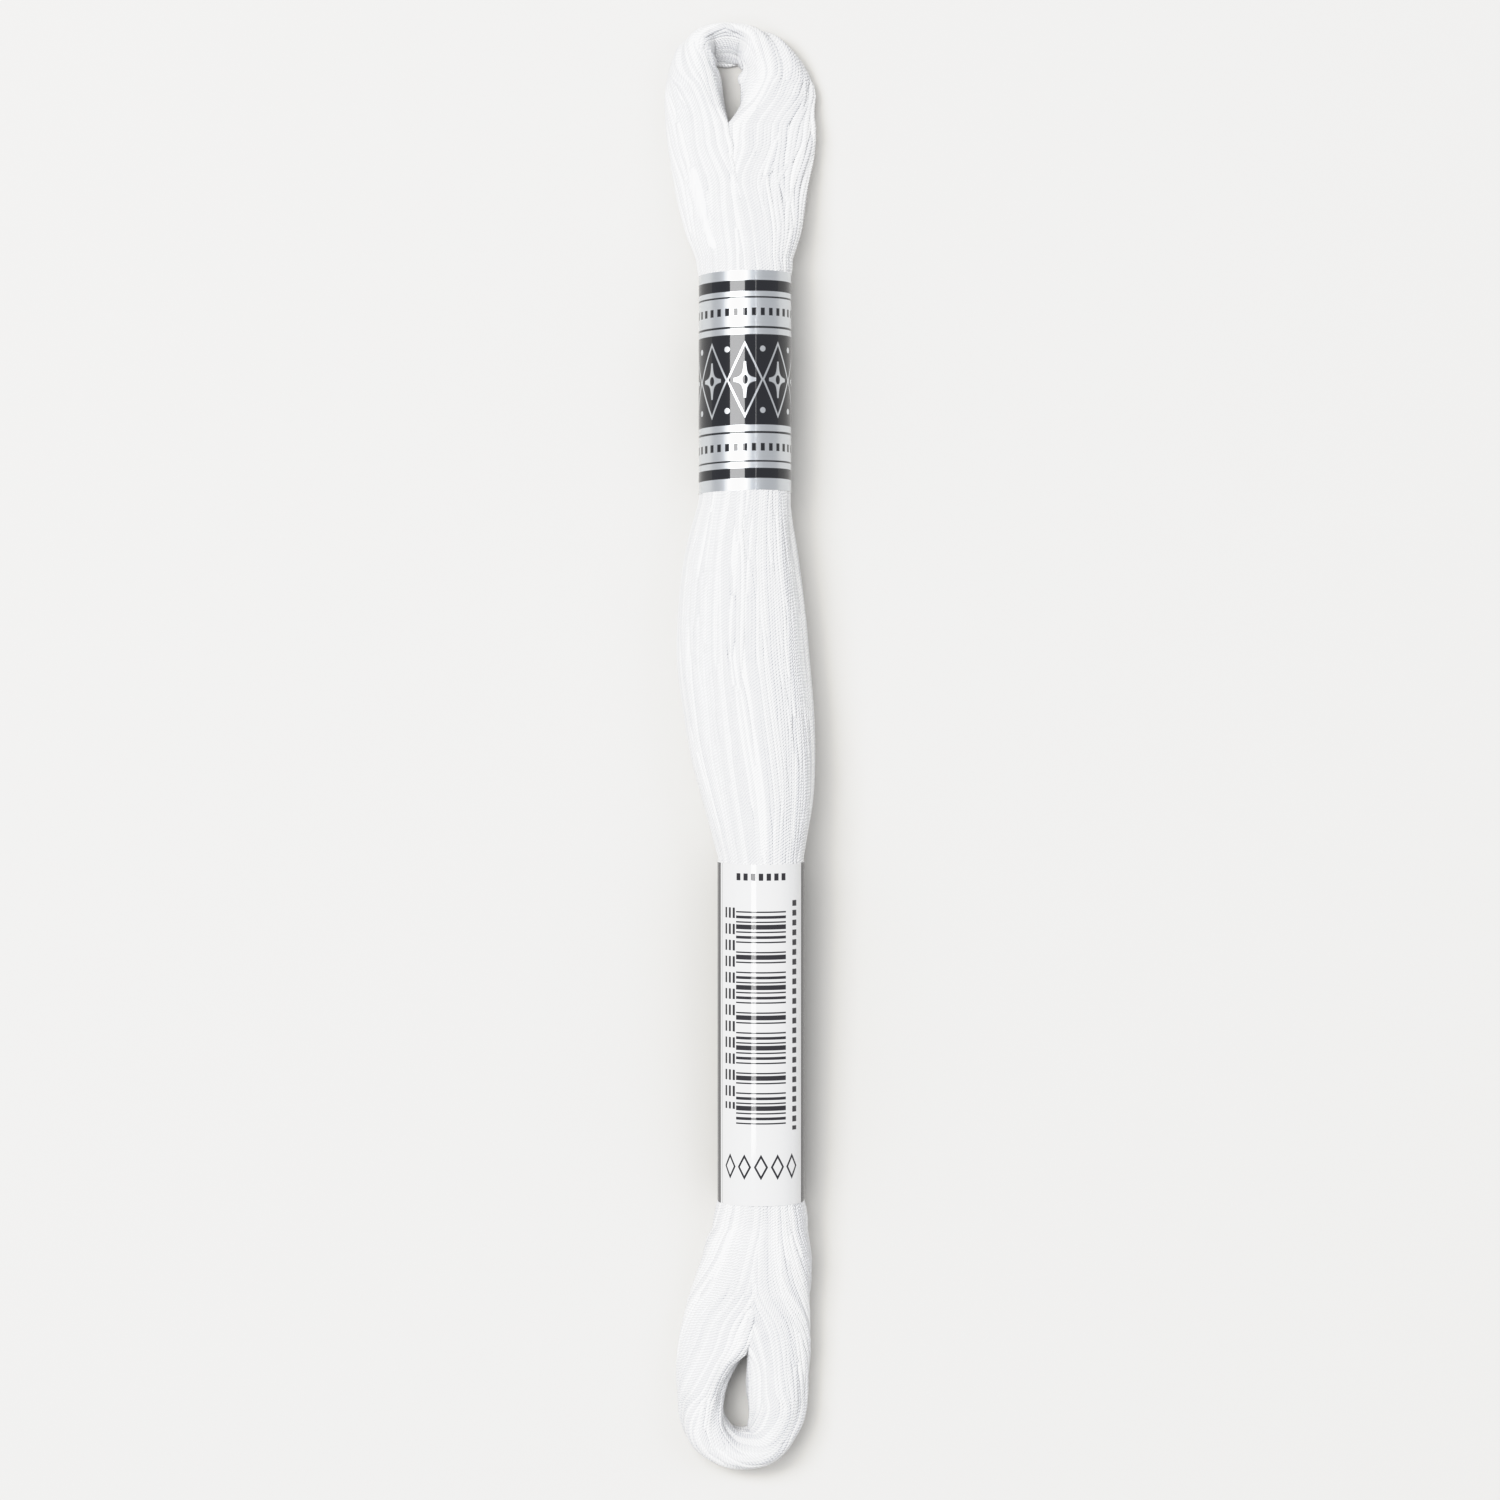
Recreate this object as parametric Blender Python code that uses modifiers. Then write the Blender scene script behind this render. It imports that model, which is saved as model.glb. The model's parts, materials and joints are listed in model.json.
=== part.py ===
"""A hank of white embroidery cotton, lying flat, with two paper bands round it.

The thread is wound into one long ring of turns. The two runs of the ring lie side by side as the hank's
trunk, and part again at each end round a narrow eye. A silvered band grips the trunk near one end and a
longer white band grips it near the other, with a puffed belly of loose thread between them.

Metres, +Z up. The hank lies along Y, its silvered band towards +Y, and rests on z = 0.
"""

import math
from dataclasses import dataclass

import bmesh
import bpy
import numpy as np
from mathutils import Vector

MM = 0.001

# The bands: outer diameters, walls, and where their ends lie along the hank.
BAND_WALL = 1.0 * MM
THREAD_GAP = 0.3 * MM
FOIL_DIAMETER = 10.9 * MM
FOIL_OUTER_END, FOIL_INNER_END = 55.4 * MM, 29.7 * MM
FOIL_X, FOIL_PITCH = 0.55 * MM, math.radians(2.5)
PAPER_DIAMETER = 10.2 * MM
PAPER_INNER_END, PAPER_OUTER_END = -13.4 * MM, -53.4 * MM
PAPER_X, PAPER_PITCH = 2.42 * MM, math.radians(3.5)
BAND_CLEARANCE = 0.12 * MM  # under each band's outer end, which nearly touches the surface
BAND_SIDES = 48

# How finely the thread's outer surface is drawn, and how deep the grooves between its bunches are.
TRUNK_POINTS, TRUNK_STEP = 32, 1.9 * MM
LOOP_POINTS, LOOP_STEP = 20, 1.5 * MM
BUNCH_DEPTH = 0.30 * MM


@dataclass
class TrunkRow:
    """One cross-section of the trunk, in millimetres."""

    y: float
    x: float
    half_width: float
    half_height: float
    lift: float  # of its underside above the surface; below zero it is pressed flat
    bunches: float  # share of BUNCH_DEPTH that shows here
    tilt: float  # degrees by which its top tips towards +Y, as a band's edge does


@dataclass
class LoopRow:
    """One cross-section of an end loop, in millimetres and degrees, square to the loop's path."""

    x: float
    y: float
    half_across: float
    half_height: float
    lift: float
    lean: float  # tip of the section's foot in under the loop
    roll: float  # turn of the thread bunches about the path


# The puffed belly between the bands, from the foil band's edge to the paper band's.
BELLY_ROWS = [
    TrunkRow(y=29.3, x=0.55, half_width=5.20, half_height=5.25, lift=1.45, bunches=0.0, tilt=2.5),
    TrunkRow(y=26.4, x=0.30, half_width=5.75, half_height=5.70, lift=0.85, bunches=0.8, tilt=2.0),
    TrunkRow(y=22.0, x=0.08, half_width=6.60, half_height=6.15, lift=0.20, bunches=1.0, tilt=1.0),
    TrunkRow(y=16.5, x=0.08, half_width=7.30, half_height=6.50, lift=-0.25, bunches=1.0, tilt=0.0),
    TrunkRow(y=10.0, x=0.25, half_width=7.70, half_height=6.70, lift=-0.45, bunches=1.0, tilt=0.0),
    TrunkRow(y=4.0, x=0.85, half_width=7.60, half_height=6.80, lift=-0.45, bunches=1.0, tilt=0.0),
    TrunkRow(y=-1.5, x=1.40, half_width=7.20, half_height=6.70, lift=-0.20, bunches=1.0, tilt=0.0),
    TrunkRow(y=-6.0, x=1.90, half_width=6.50, half_height=6.30, lift=0.45, bunches=1.0, tilt=-1.5),
    TrunkRow(y=-10.5, x=2.25, half_width=5.50, half_height=5.50, lift=1.75, bunches=0.7, tilt=-3.0),
    TrunkRow(y=-13.0, x=2.42, half_width=4.95, half_height=4.95, lift=2.65, bunches=0.0, tilt=-3.5),
]
# The web of thread that closes the cleft between the legs, from each band's edge to the tip of the eye.
UPPER_WEB_ROWS = [
    TrunkRow(y=55.8, x=0.55, half_width=5.50, half_height=5.20, lift=0.20, bunches=0.0, tilt=2.5),
    TrunkRow(y=58.2, x=0.40, half_width=5.60, half_height=5.00, lift=0.10, bunches=0.0, tilt=0.0),
    TrunkRow(y=61.5, x=-0.10, half_width=4.40, half_height=4.40, lift=0.35, bunches=0.0, tilt=0.0),
    TrunkRow(y=66.0, x=-0.90, half_width=3.00, half_height=3.10, lift=0.90, bunches=0.0, tilt=0.0),
    TrunkRow(y=70.0, x=-1.30, half_width=1.90, half_height=2.00, lift=1.80, bunches=0.0, tilt=0.0),
    TrunkRow(y=72.8, x=-1.45, half_width=0.90, half_height=1.00, lift=2.60, bunches=0.0, tilt=0.0),
]
LOWER_WEB_ROWS = [
    TrunkRow(y=-53.8, x=2.45, half_width=5.20, half_height=4.95, lift=0.20, bunches=0.0, tilt=-3.5),
    TrunkRow(y=-56.4, x=2.35, half_width=5.55, half_height=4.85, lift=0.10, bunches=0.0, tilt=0.0),
    TrunkRow(y=-60.0, x=1.90, half_width=4.30, half_height=4.20, lift=0.35, bunches=0.0, tilt=0.0),
    TrunkRow(y=-64.5, x=1.30, half_width=2.90, half_height=3.00, lift=0.90, bunches=0.0, tilt=0.0),
    TrunkRow(y=-68.0, x=1.05, half_width=1.50, half_height=1.80, lift=1.90, bunches=0.0, tilt=0.0),
    TrunkRow(y=-70.2, x=1.00, half_width=0.70, half_height=1.00, lift=2.60, bunches=0.0, tilt=0.0),
]
# Each loop starts and ends inside the trunk, and goes round its eye from the left leg to the right.
UPPER_LOOP = [
    LoopRow(x=-1.80, y=56.3, half_across=2.4, half_height=3.90, lift=1.60, lean=0, roll=0),
    LoopRow(x=-2.65, y=58.8, half_across=3.05, half_height=4.70, lift=0.40, lean=0, roll=0),
    LoopRow(x=-3.60, y=62.2, half_across=3.2, half_height=4.40, lift=0.05, lean=0, roll=0),
    LoopRow(x=-4.65, y=68.0, half_across=3.4, half_height=3.75, lift=-0.20, lean=0, roll=2),
    LoopRow(x=-5.25, y=74.0, half_across=3.5, half_height=3.25, lift=-0.30, lean=0, roll=10),
    LoopRow(x=-5.60, y=78.0, half_across=3.25, half_height=3.10, lift=-0.30, lean=2, roll=22),
    LoopRow(x=-5.20, y=81.0, half_across=2.45, half_height=3.25, lift=-0.30, lean=8, roll=42),
    LoopRow(x=-4.00, y=82.6, half_across=1.65, half_height=3.60, lift=-0.30, lean=22, roll=72),
    LoopRow(x=-1.80, y=82.6, half_across=1.45, half_height=3.90, lift=-0.30, lean=35, roll=92),
    LoopRow(x=0.35, y=82.65, half_across=1.85, half_height=3.55, lift=-0.30, lean=26, roll=88),
    LoopRow(x=2.30, y=81.55, half_across=2.85, half_height=3.00, lift=-0.30, lean=14, roll=66),
    LoopRow(x=3.45, y=79.75, half_across=4.2, half_height=2.65, lift=-0.30, lean=17, roll=42),
    LoopRow(x=4.15, y=77.6, half_across=5.0, half_height=2.50, lift=-0.30, lean=20, roll=24),
    LoopRow(x=4.20, y=75.0, half_across=5.0, half_height=2.45, lift=-0.30, lean=22, roll=10),
    LoopRow(x=3.75, y=71.2, half_across=5.33, half_height=2.80, lift=-0.25, lean=22, roll=2),
    LoopRow(x=3.45, y=65.0, half_across=4.35, half_height=3.50, lift=-0.10, lean=15, roll=0),
    LoopRow(x=3.15, y=60.0, half_across=3.75, half_height=4.35, lift=0.20, lean=5, roll=0),
    LoopRow(x=2.90, y=56.3, half_across=2.7, half_height=3.90, lift=1.60, lean=0, roll=0),
]
LOWER_LOOP = [
    LoopRow(x=0.60, y=-54.4, half_across=2.2, half_height=3.60, lift=1.60, lean=0, roll=0),
    LoopRow(x=-0.60, y=-57.2, half_across=3.0, half_height=4.60, lift=0.30, lean=0, roll=0),
    LoopRow(x=-1.45, y=-60.5, half_across=3.1, half_height=4.50, lift=0.00, lean=0, roll=5),
    LoopRow(x=-2.80, y=-66.0, half_across=3.6, half_height=4.25, lift=-0.25, lean=0, roll=12),
    LoopRow(x=-3.75, y=-71.5, half_across=3.6, half_height=4.05, lift=-0.35, lean=0, roll=25),
    LoopRow(x=-4.70, y=-76.0, half_across=2.7, half_height=3.95, lift=-0.35, lean=0, roll=45),
    LoopRow(x=-3.60, y=-80.8, half_across=2.45, half_height=3.80, lift=-0.30, lean=3, roll=74),
    LoopRow(x=-0.55, y=-82.7, half_across=2.3, half_height=3.70, lift=-0.30, lean=6, roll=104),
    LoopRow(x=2.65, y=-82.1, half_across=2.6, half_height=3.70, lift=-0.30, lean=6, roll=140),
    LoopRow(x=4.15, y=-79.3, half_across=3.1, half_height=3.75, lift=-0.35, lean=2, roll=178),
    LoopRow(x=4.25, y=-75.0, half_across=3.6, half_height=3.85, lift=-0.35, lean=0, roll=204),
    LoopRow(x=4.55, y=-70.5, half_across=3.7, half_height=4.00, lift=-0.35, lean=0, roll=205),
    LoopRow(x=4.65, y=-65.5, half_across=3.5, half_height=4.20, lift=-0.25, lean=0, roll=195),
    LoopRow(x=4.90, y=-60.0, half_across=3.4, half_height=4.45, lift=0.00, lean=0, roll=186),
    LoopRow(x=4.50, y=-54.4, half_across=2.8, half_height=3.60, lift=1.60, lean=0, roll=180),
]


def smooth_table(rows, at, count):
    """Reads every column of a table on a smooth curve through its rows, at evenly spaced places.

    `at` is the running length of each row, and `count` how many places to read.
    """
    values = np.array([list(vars(row).values()) for row in rows], float)
    at = np.asarray(at, float)
    slopes = np.gradient(values, at, axis=0)
    places = np.linspace(at[0], at[-1], count)
    before = np.clip(np.searchsorted(at, places, side="right") - 1, 0, len(at) - 2)
    span = at[before + 1] - at[before]
    t = ((places - at[before]) / span)[:, None]
    span = span[:, None]
    read = (
        values[before] * (2 * t**3 - 3 * t**2 + 1)
        + slopes[before] * span * (t**3 - 2 * t**2 + t)
        + values[before + 1] * (3 * t**2 - 2 * t**3)
        + slopes[before + 1] * span * (t**3 - t**2)
    )
    names = list(vars(rows[0]))
    return [type(rows[0])(**dict(zip(names, row))) for row in read]


def bunch_relief(angle, along):
    """How far the surface stands proud, from -1 to 1: uneven bunches of thread that drift as they run."""
    broad = math.cos(5 * angle + 0.055 * along / MM + 0.4)
    narrow = math.cos(8 * angle - 0.040 * along / MM + 2.0)
    return 0.62 * broad + 0.38 * narrow


def loft(name, rings):
    """A closed object through a run of like rings of points, capped at both ends."""
    mesh = bpy.data.meshes.new(name)
    bm = bmesh.new()
    corners = [[bm.verts.new(point) for point in ring] for ring in rings]
    for ring, following in zip(corners, corners[1:]):
        for i in range(len(ring)):
            j = (i + 1) % len(ring)
            bm.faces.new((ring[i], ring[j], following[j], following[i]))
    bm.faces.new(reversed(corners[0]))
    bm.faces.new(corners[-1])
    bmesh.ops.recalc_face_normals(bm, faces=bm.faces)
    bm.to_mesh(mesh)
    bm.free()
    return bpy.data.objects.new(name, mesh)


def on_surface(point):
    """The point, pressed up to the surface that the hank lies on where it would reach below it."""
    point.z = max(point.z, 0.0)
    return point


def band_axis_height(diameter, length, pitch, share):
    """Height of a band's axis, a share of the way from its outer end to its inner end."""
    return diameter / 2 * math.cos(pitch) + BAND_CLEARANCE + share * length * math.sin(pitch)


def waist_rows(diameter, x, outer_end, inner_end, pitch):
    """Rows of the trunk inside a band, in order from its outer end to just past its inner end."""
    length = abs(outer_end - inner_end)
    inwards = 1 if inner_end > outer_end else -1
    snug = (diameter / 2 - BAND_WALL - THREAD_GAP) / MM
    tilt = -inwards * math.degrees(pitch)
    rows = []
    for past_outer_end in (-THREAD_GAP, length / 2, length + THREAD_GAP):
        y = outer_end + inwards * past_outer_end
        axis = band_axis_height(diameter, length, pitch, past_outer_end / length)
        rows.append(TrunkRow(y / MM, x / MM, snug, snug, axis / MM - snug, 0.0, tilt))
    return rows


def smooth_trunk(rows):
    """The rows of a stretch of the trunk, read again on a smooth curve at about TRUNK_STEP."""
    lengths = [abs(row.y - rows[0].y) for row in rows]
    return smooth_table(rows, lengths, round(lengths[-1] * MM / TRUNK_STEP))


def trunk_ring(row):
    """The points of one cross-section of the trunk, which lies square to Y but for its tilt."""
    middle = (row.lift + row.half_height) * MM
    slope = math.tan(math.radians(row.tilt))
    ring = []
    for i in range(TRUNK_POINTS):
        angle = 2 * math.pi * i / TRUNK_POINTS
        proud = BUNCH_DEPTH * row.bunches * bunch_relief(angle, row.y * MM)
        across = (row.half_width * MM + proud) * math.cos(angle)
        up = (row.half_height * MM + proud) * math.sin(angle)
        ring.append(on_surface(Vector((row.x * MM + across, row.y * MM + slope * up, middle + up))))
    return ring


def trunk():
    """The thread from one eye to the other, narrow inside the bands and full between them."""
    rows = (
        smooth_trunk(UPPER_WEB_ROWS)[::-1]
        + waist_rows(FOIL_DIAMETER, FOIL_X, FOIL_OUTER_END, FOIL_INNER_END, FOIL_PITCH)
        + smooth_trunk(BELLY_ROWS)
        + waist_rows(PAPER_DIAMETER, PAPER_X, PAPER_OUTER_END, PAPER_INNER_END, PAPER_PITCH)[::-1]
        + smooth_trunk(LOWER_WEB_ROWS)
    )
    return loft("hank", [trunk_ring(row) for row in rows])


def end_loop(name, table):
    """One end of the ring of thread, swept round its eye on the rows of its table."""
    lengths = [0.0]
    for row, following in zip(table, table[1:]):
        lengths.append(lengths[-1] + math.hypot(following.x - row.x, following.y - row.y))
    rows = smooth_table(table, lengths, round(lengths[-1] * MM / LOOP_STEP))
    rings = []
    for i, row in enumerate(rows):
        before, after = rows[max(i - 1, 0)], rows[min(i + 1, len(rows) - 1)]
        tangent = Vector((after.x - before.x, after.y - before.y, 0)).normalized()
        outwards = Vector((-tangent.y, tangent.x, 0)) * (1 if table is UPPER_LOOP else -1)
        lean, roll = math.radians(row.lean), math.radians(row.roll)
        half_extent = math.hypot(row.half_height * math.cos(lean), row.half_across * math.sin(lean))
        middle = Vector((row.x, row.y, row.lift + half_extent)) * MM
        edge = min(i, len(rows) - 1 - i) / 4  # the buried ends are smooth
        ring = []
        for k in range(LOOP_POINTS):
            angle = 2 * math.pi * k / LOOP_POINTS
            proud = BUNCH_DEPTH * min(edge, 1.0) * bunch_relief(angle + roll, 0)
            across = (row.half_across * MM + proud) * math.cos(angle)
            up = (row.half_height * MM + proud) * math.sin(angle)
            leaned = outwards * (across * math.cos(lean) + up * math.sin(lean))
            rise = up * math.cos(lean) - across * math.sin(lean)
            ring.append(on_surface(middle + leaned + Vector((0, 0, rise))))
        rings.append(ring)
    return loft(name, rings)


def finish(name, colour, roughness, metallic):
    """A plain material for one sub-part."""
    material = bpy.data.materials.new(name)
    material.use_nodes = True
    shader = material.node_tree.nodes["Principled BSDF"]
    shader.inputs["Base Color"].default_value = (*colour, 1.0)
    shader.inputs["Roughness"].default_value = roughness
    shader.inputs["Metallic"].default_value = metallic
    return material


def build_hank(parts, helpers):
    """The whole of the thread as one solid: its trunk, with a loop joined on at each end."""
    hank = trunk()
    parts.objects.link(hank)
    for name, table in (("upper_loop", UPPER_LOOP), ("lower_loop", LOWER_LOOP)):
        loop = end_loop(name, table)
        loop.hide_render = True
        loop.display_type = "WIRE"
        helpers.objects.link(loop)
        join = hank.modifiers.new(name, "BOOLEAN")
        join.operation = "UNION"
        join.solver = "EXACT"
        join.object = loop
    hank.data.materials.append(finish("cotton_thread", (0.90, 0.90, 0.92), 0.55, 0.0))
    return hank


def build_band(parts, name, diameter, x, outer_end, inner_end, pitch, material):
    """A paper band: an open tube round the thread, given its wall, and pitched with the trunk."""
    length = abs(outer_end - inner_end)
    # The tube's own axis is Z, turned here to run along the hank with its inner end the higher.
    bpy.ops.mesh.primitive_cylinder_add(
        vertices=BAND_SIDES,
        radius=diameter / 2,
        depth=length,
        end_fill_type="NOTHING",
        location=(
            x,
            (outer_end + inner_end) / 2,
            band_axis_height(diameter, length, pitch, 0.5),
        ),
        rotation=(math.pi / 2 + (pitch if outer_end < 0 else -pitch), 0, 0),
    )
    band = bpy.context.object
    band.name = band.data.name = name
    for collection in band.users_collection:
        collection.objects.unlink(band)
    parts.objects.link(band)
    wall = band.modifiers.new("wall", "SOLIDIFY")
    wall.thickness = BAND_WALL
    wall.offset = -1
    wall.use_even_offset = True
    band.data.shade_smooth()
    band.data.set_sharp_from_angle(angle=math.radians(40))
    band.data.materials.append(material)
    return band


def main():
    for old in list(bpy.data.objects):
        bpy.data.objects.remove(old)
    parts = bpy.data.collections.new("embroidery_hank")
    helpers = bpy.data.collections.new("helpers")
    bpy.context.scene.collection.children.link(parts)
    bpy.context.scene.collection.children.link(helpers)
    hank = build_hank(parts, helpers)
    hank.data.shade_smooth()
    build_band(
        parts,
        "foil_band",
        FOIL_DIAMETER,
        FOIL_X,
        FOIL_OUTER_END,
        FOIL_INNER_END,
        FOIL_PITCH,
        finish("silvered_paper", (0.72, 0.73, 0.75), 0.28, 0.85),
    )
    build_band(
        parts,
        "paper_band",
        PAPER_DIAMETER,
        PAPER_X,
        PAPER_OUTER_END,
        PAPER_INNER_END,
        PAPER_PITCH,
        finish("white_paper", (0.88, 0.88, 0.87), 0.35, 0.0),
    )


main()
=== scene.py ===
"""A hank of white embroidery cotton with two paper bands, dressed and lit for its picture.

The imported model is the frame: its two bands and its hank say where everything goes. Here the hank becomes
its turns of twisted thread, laid strand by strand, and the bands become thin printed paper.

Lengths in the classes are in millimetres, and turn into metres where a mesh is made.
"""

from __future__ import annotations

import json
import logging
import math
from dataclasses import dataclass
from enum import Enum
from typing import Any

import bmesh
import bpy
import numpy as np
from mathutils import Matrix, Vector

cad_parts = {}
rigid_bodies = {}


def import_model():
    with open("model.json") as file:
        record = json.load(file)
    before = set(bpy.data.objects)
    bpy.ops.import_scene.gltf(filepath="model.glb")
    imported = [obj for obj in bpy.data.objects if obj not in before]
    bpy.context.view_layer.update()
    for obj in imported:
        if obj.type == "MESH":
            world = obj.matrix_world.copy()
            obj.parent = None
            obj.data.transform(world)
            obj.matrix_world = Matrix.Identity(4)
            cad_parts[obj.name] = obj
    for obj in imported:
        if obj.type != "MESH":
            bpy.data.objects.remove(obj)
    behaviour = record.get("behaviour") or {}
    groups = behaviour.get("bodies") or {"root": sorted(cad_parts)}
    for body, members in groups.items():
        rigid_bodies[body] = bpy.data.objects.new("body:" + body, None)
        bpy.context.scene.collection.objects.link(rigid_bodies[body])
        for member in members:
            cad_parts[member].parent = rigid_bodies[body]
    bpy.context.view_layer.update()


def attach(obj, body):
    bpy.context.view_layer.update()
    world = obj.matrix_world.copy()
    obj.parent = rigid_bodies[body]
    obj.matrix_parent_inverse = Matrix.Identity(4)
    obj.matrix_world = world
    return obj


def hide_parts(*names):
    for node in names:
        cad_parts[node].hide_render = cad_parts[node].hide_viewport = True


MM = 0.001
LOG = logging.getLogger("embroidery_hank")

Number = float | int


class Slot(Enum):
    """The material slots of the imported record."""

    THREAD = "thread"
    SILVERED = "silvered_paper"
    WHITE = "white_paper"


class Node(Enum):
    """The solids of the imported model."""

    HANK = "hank"
    FOIL = "foil_band"
    LABEL = "paper_band"


# ---------------------------------------------------------------------------------------------------------
# Shader sheets: nodes written as sums
# ---------------------------------------------------------------------------------------------------------


class Signal:
    """A socket of a node sheet that takes part in sums, so that shader maths reads as maths."""

    def __init__(self, sheet: "NodeSheet", socket: bpy.types.NodeSocket) -> None:
        """Wraps a socket.

        Args:
            sheet: the node sheet that the socket belongs to.
            socket: an output socket.
        """
        self.sheet = sheet
        self.socket = socket

    def _sum(self, operation: str, *values: "Signal | Number") -> "Signal":
        """One Math node.

        Args:
            operation: the Math node's operation.
            values: its inputs in order.

        Returns:
            The node's result.
        """
        inputs = dict(enumerate(values))
        return self.sheet.node("ShaderNodeMath", {"operation": operation}, inputs)

    def __add__(self, other: "Signal | Number") -> "Signal":
        """self + other."""
        return self._sum("ADD", self, other)

    def __radd__(self, other: Number) -> "Signal":
        """other + self."""
        return self._sum("ADD", other, self)

    def __sub__(self, other: "Signal | Number") -> "Signal":
        """self - other."""
        return self._sum("SUBTRACT", self, other)

    def __rsub__(self, other: Number) -> "Signal":
        """other - self."""
        return self._sum("SUBTRACT", other, self)

    def __mul__(self, other: "Signal | Number") -> "Signal":
        """self * other."""
        return self._sum("MULTIPLY", self, other)

    def __rmul__(self, other: Number) -> "Signal":
        """other * self."""
        return self._sum("MULTIPLY", other, self)

    def __truediv__(self, other: "Signal | Number") -> "Signal":
        """self / other."""
        return self._sum("DIVIDE", self, other)

    def __abs__(self) -> "Signal":
        """The size of self, without its sign."""
        return self._sum("ABSOLUTE", self)

    def least(self, other: "Signal | Number") -> "Signal":
        """The smaller of self and other."""
        return self._sum("MINIMUM", self, other)

    def most(self, other: "Signal | Number") -> "Signal":
        """The larger of self and other."""
        return self._sum("MAXIMUM", self, other)

    def cosine(self) -> "Signal":
        """The cosine of self, in radians."""
        return self._sum("COSINE", self)

    def power(self, exponent: Number) -> "Signal":
        """self raised to a power."""
        return self._sum("POWER", self, exponent)

    def root_sum(self, other: "Signal") -> "Signal":
        """The length of the arrow whose two sides are self and other."""
        return (self * self + other * other).power(0.5)

    def cycle(self, length: Number) -> "Signal":
        """Where self lies in a repeat of the given length, measured from the middle of that repeat."""
        shifted = self / length + 0.5
        return (shifted - self._sum("FLOOR", shifted) - 0.5) * length

    def inside(self, half: "Signal | Number", soft: Number) -> "Signal":
        """A mask that is 1 where self is within half of nought, with an edge of the width soft.

        Args:
            half: the half width of the masked strip.
            soft: how wide its edge is.

        Returns:
            The mask, from 0 to 1.
        """
        fade = (half - abs(self)) / soft + 0.5
        return fade.most(0.0).least(1.0)

    def between(self, low: Number, high: Number, soft: Number) -> "Signal":
        """A mask that is 1 where self lies from low to high, with an edge of the width soft."""
        return (self - (low + high) / 2).inside((high - low) / 2, soft)

    def in_any(self, strips: tuple[tuple[float, float], ...], soft: Number) -> "Signal":
        """A mask that is 1 where self lies in any of the strips, each from its low end to its high one."""
        masks = [self.between(low, high, soft) for low, high in strips]
        mask = masks[0]
        for other in masks[1:]:
            mask = mask.most(other)
        return mask


class NodeSheet:
    """The node sheet of one material."""

    def __init__(self, name: str) -> None:
        """Starts an empty sheet.

        Args:
            name: the material's name.
        """
        self.material = bpy.data.materials.new(name)
        self.material.use_nodes = True
        self.tree = self.material.node_tree
        self.tree.nodes.clear()

    def node(self, kind: str, settings: dict[str, Any], inputs: dict[Any, Any], out: Any = 0) -> Signal:
        """Adds one node.

        Args:
            kind: the node's type.
            settings: its own settings, which are set first. "stops" fills a ramp.
            inputs: values, colours or signals for its sockets, by name or number.
            out: the name or number of the output that is wanted.

        Returns:
            That output.
        """
        node = self.tree.nodes.new(kind)
        for key, value in settings.items():
            if key == "stops":
                ramp = node.color_ramp
                while len(ramp.elements) < len(value):
                    ramp.elements.new(0.5)
                for element, (place, colour) in zip(ramp.elements, value):
                    element.position = place
                    element.color = (*colour, 1.0)
            else:
                setattr(node, key, value)
        for key, value in inputs.items():
            if isinstance(value, Signal):
                self.tree.links.new(value.socket, node.inputs[key])
            else:
                node.inputs[key].default_value = value
        return Signal(self, node.outputs[out] if node.outputs else None)

    def shaped(self, map_name: str) -> tuple[Signal, Signal]:
        """The two coordinates of one of the piece's own UV maps.

        Args:
            map_name: the UV map's name.

        Returns:
            Its first and second coordinate.
        """
        place = self.node("ShaderNodeUVMap", {"uv_map": map_name}, {})
        first = self.node("ShaderNodeSeparateXYZ", {}, {0: place}, 0)
        second = self.node("ShaderNodeSeparateXYZ", {}, {0: place}, 1)
        return first, second

    def grain(
        self, scale: Number, detail: Number, stretch: tuple[float, float, float] = (1.0, 1.0, 1.0)
    ) -> Signal:
        """Noise on Object coordinates, about 0.5.

        Args:
            scale: how fine it is, in repeats a metre.
            detail: how many finer layers it has.
            stretch: the scale along each axis.

        Returns:
            The noise.
        """
        place = self.node("ShaderNodeTexCoord", {}, {}, "Object")
        drawn = self.node("ShaderNodeMapping", {}, {"Vector": place, "Scale": stretch})
        inputs = {"Vector": drawn, "Scale": scale, "Detail": detail}
        return self.node("ShaderNodeTexNoise", {}, inputs, 0)

    def mixed(self, mask: Signal, low: Any, high: Any) -> Signal:
        """A colour between two, by a mask.

        Args:
            mask: 0 gives low and 1 gives high.
            low: a colour or a signal.
            high: a colour or a signal.

        Returns:
            The mixed colour.
        """
        pair = {}
        for key, value in ((6, low), (7, high)):
            pair[key] = value if isinstance(value, Signal) else (*value, 1.0)
        return self.node("ShaderNodeMix", {"data_type": "RGBA"}, {0: mask, **pair}, 2)

    def relief(self, height: Signal, depth: Number) -> Signal:
        """A bump.

        Args:
            height: how high the surface stands, from 0 to 1.
            depth: the height of 1, in metres.

        Returns:
            The normal.
        """
        return self.node("ShaderNodeBump", {}, {"Height": height, "Distance": depth, "Strength": 1.0})

    def finish(self, shader: dict[str, Any]) -> bpy.types.Material:
        """Ends the sheet in a Principled shader.

        Args:
            shader: the values and signals of the shader's sockets.

        Returns:
            The material.
        """
        surface = self.node("ShaderNodeBsdfPrincipled", {}, shader)
        self.node("ShaderNodeOutputMaterial", {}, {"Surface": surface})
        return self.material


# ---------------------------------------------------------------------------------------------------------
# Finishes
# ---------------------------------------------------------------------------------------------------------


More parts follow.
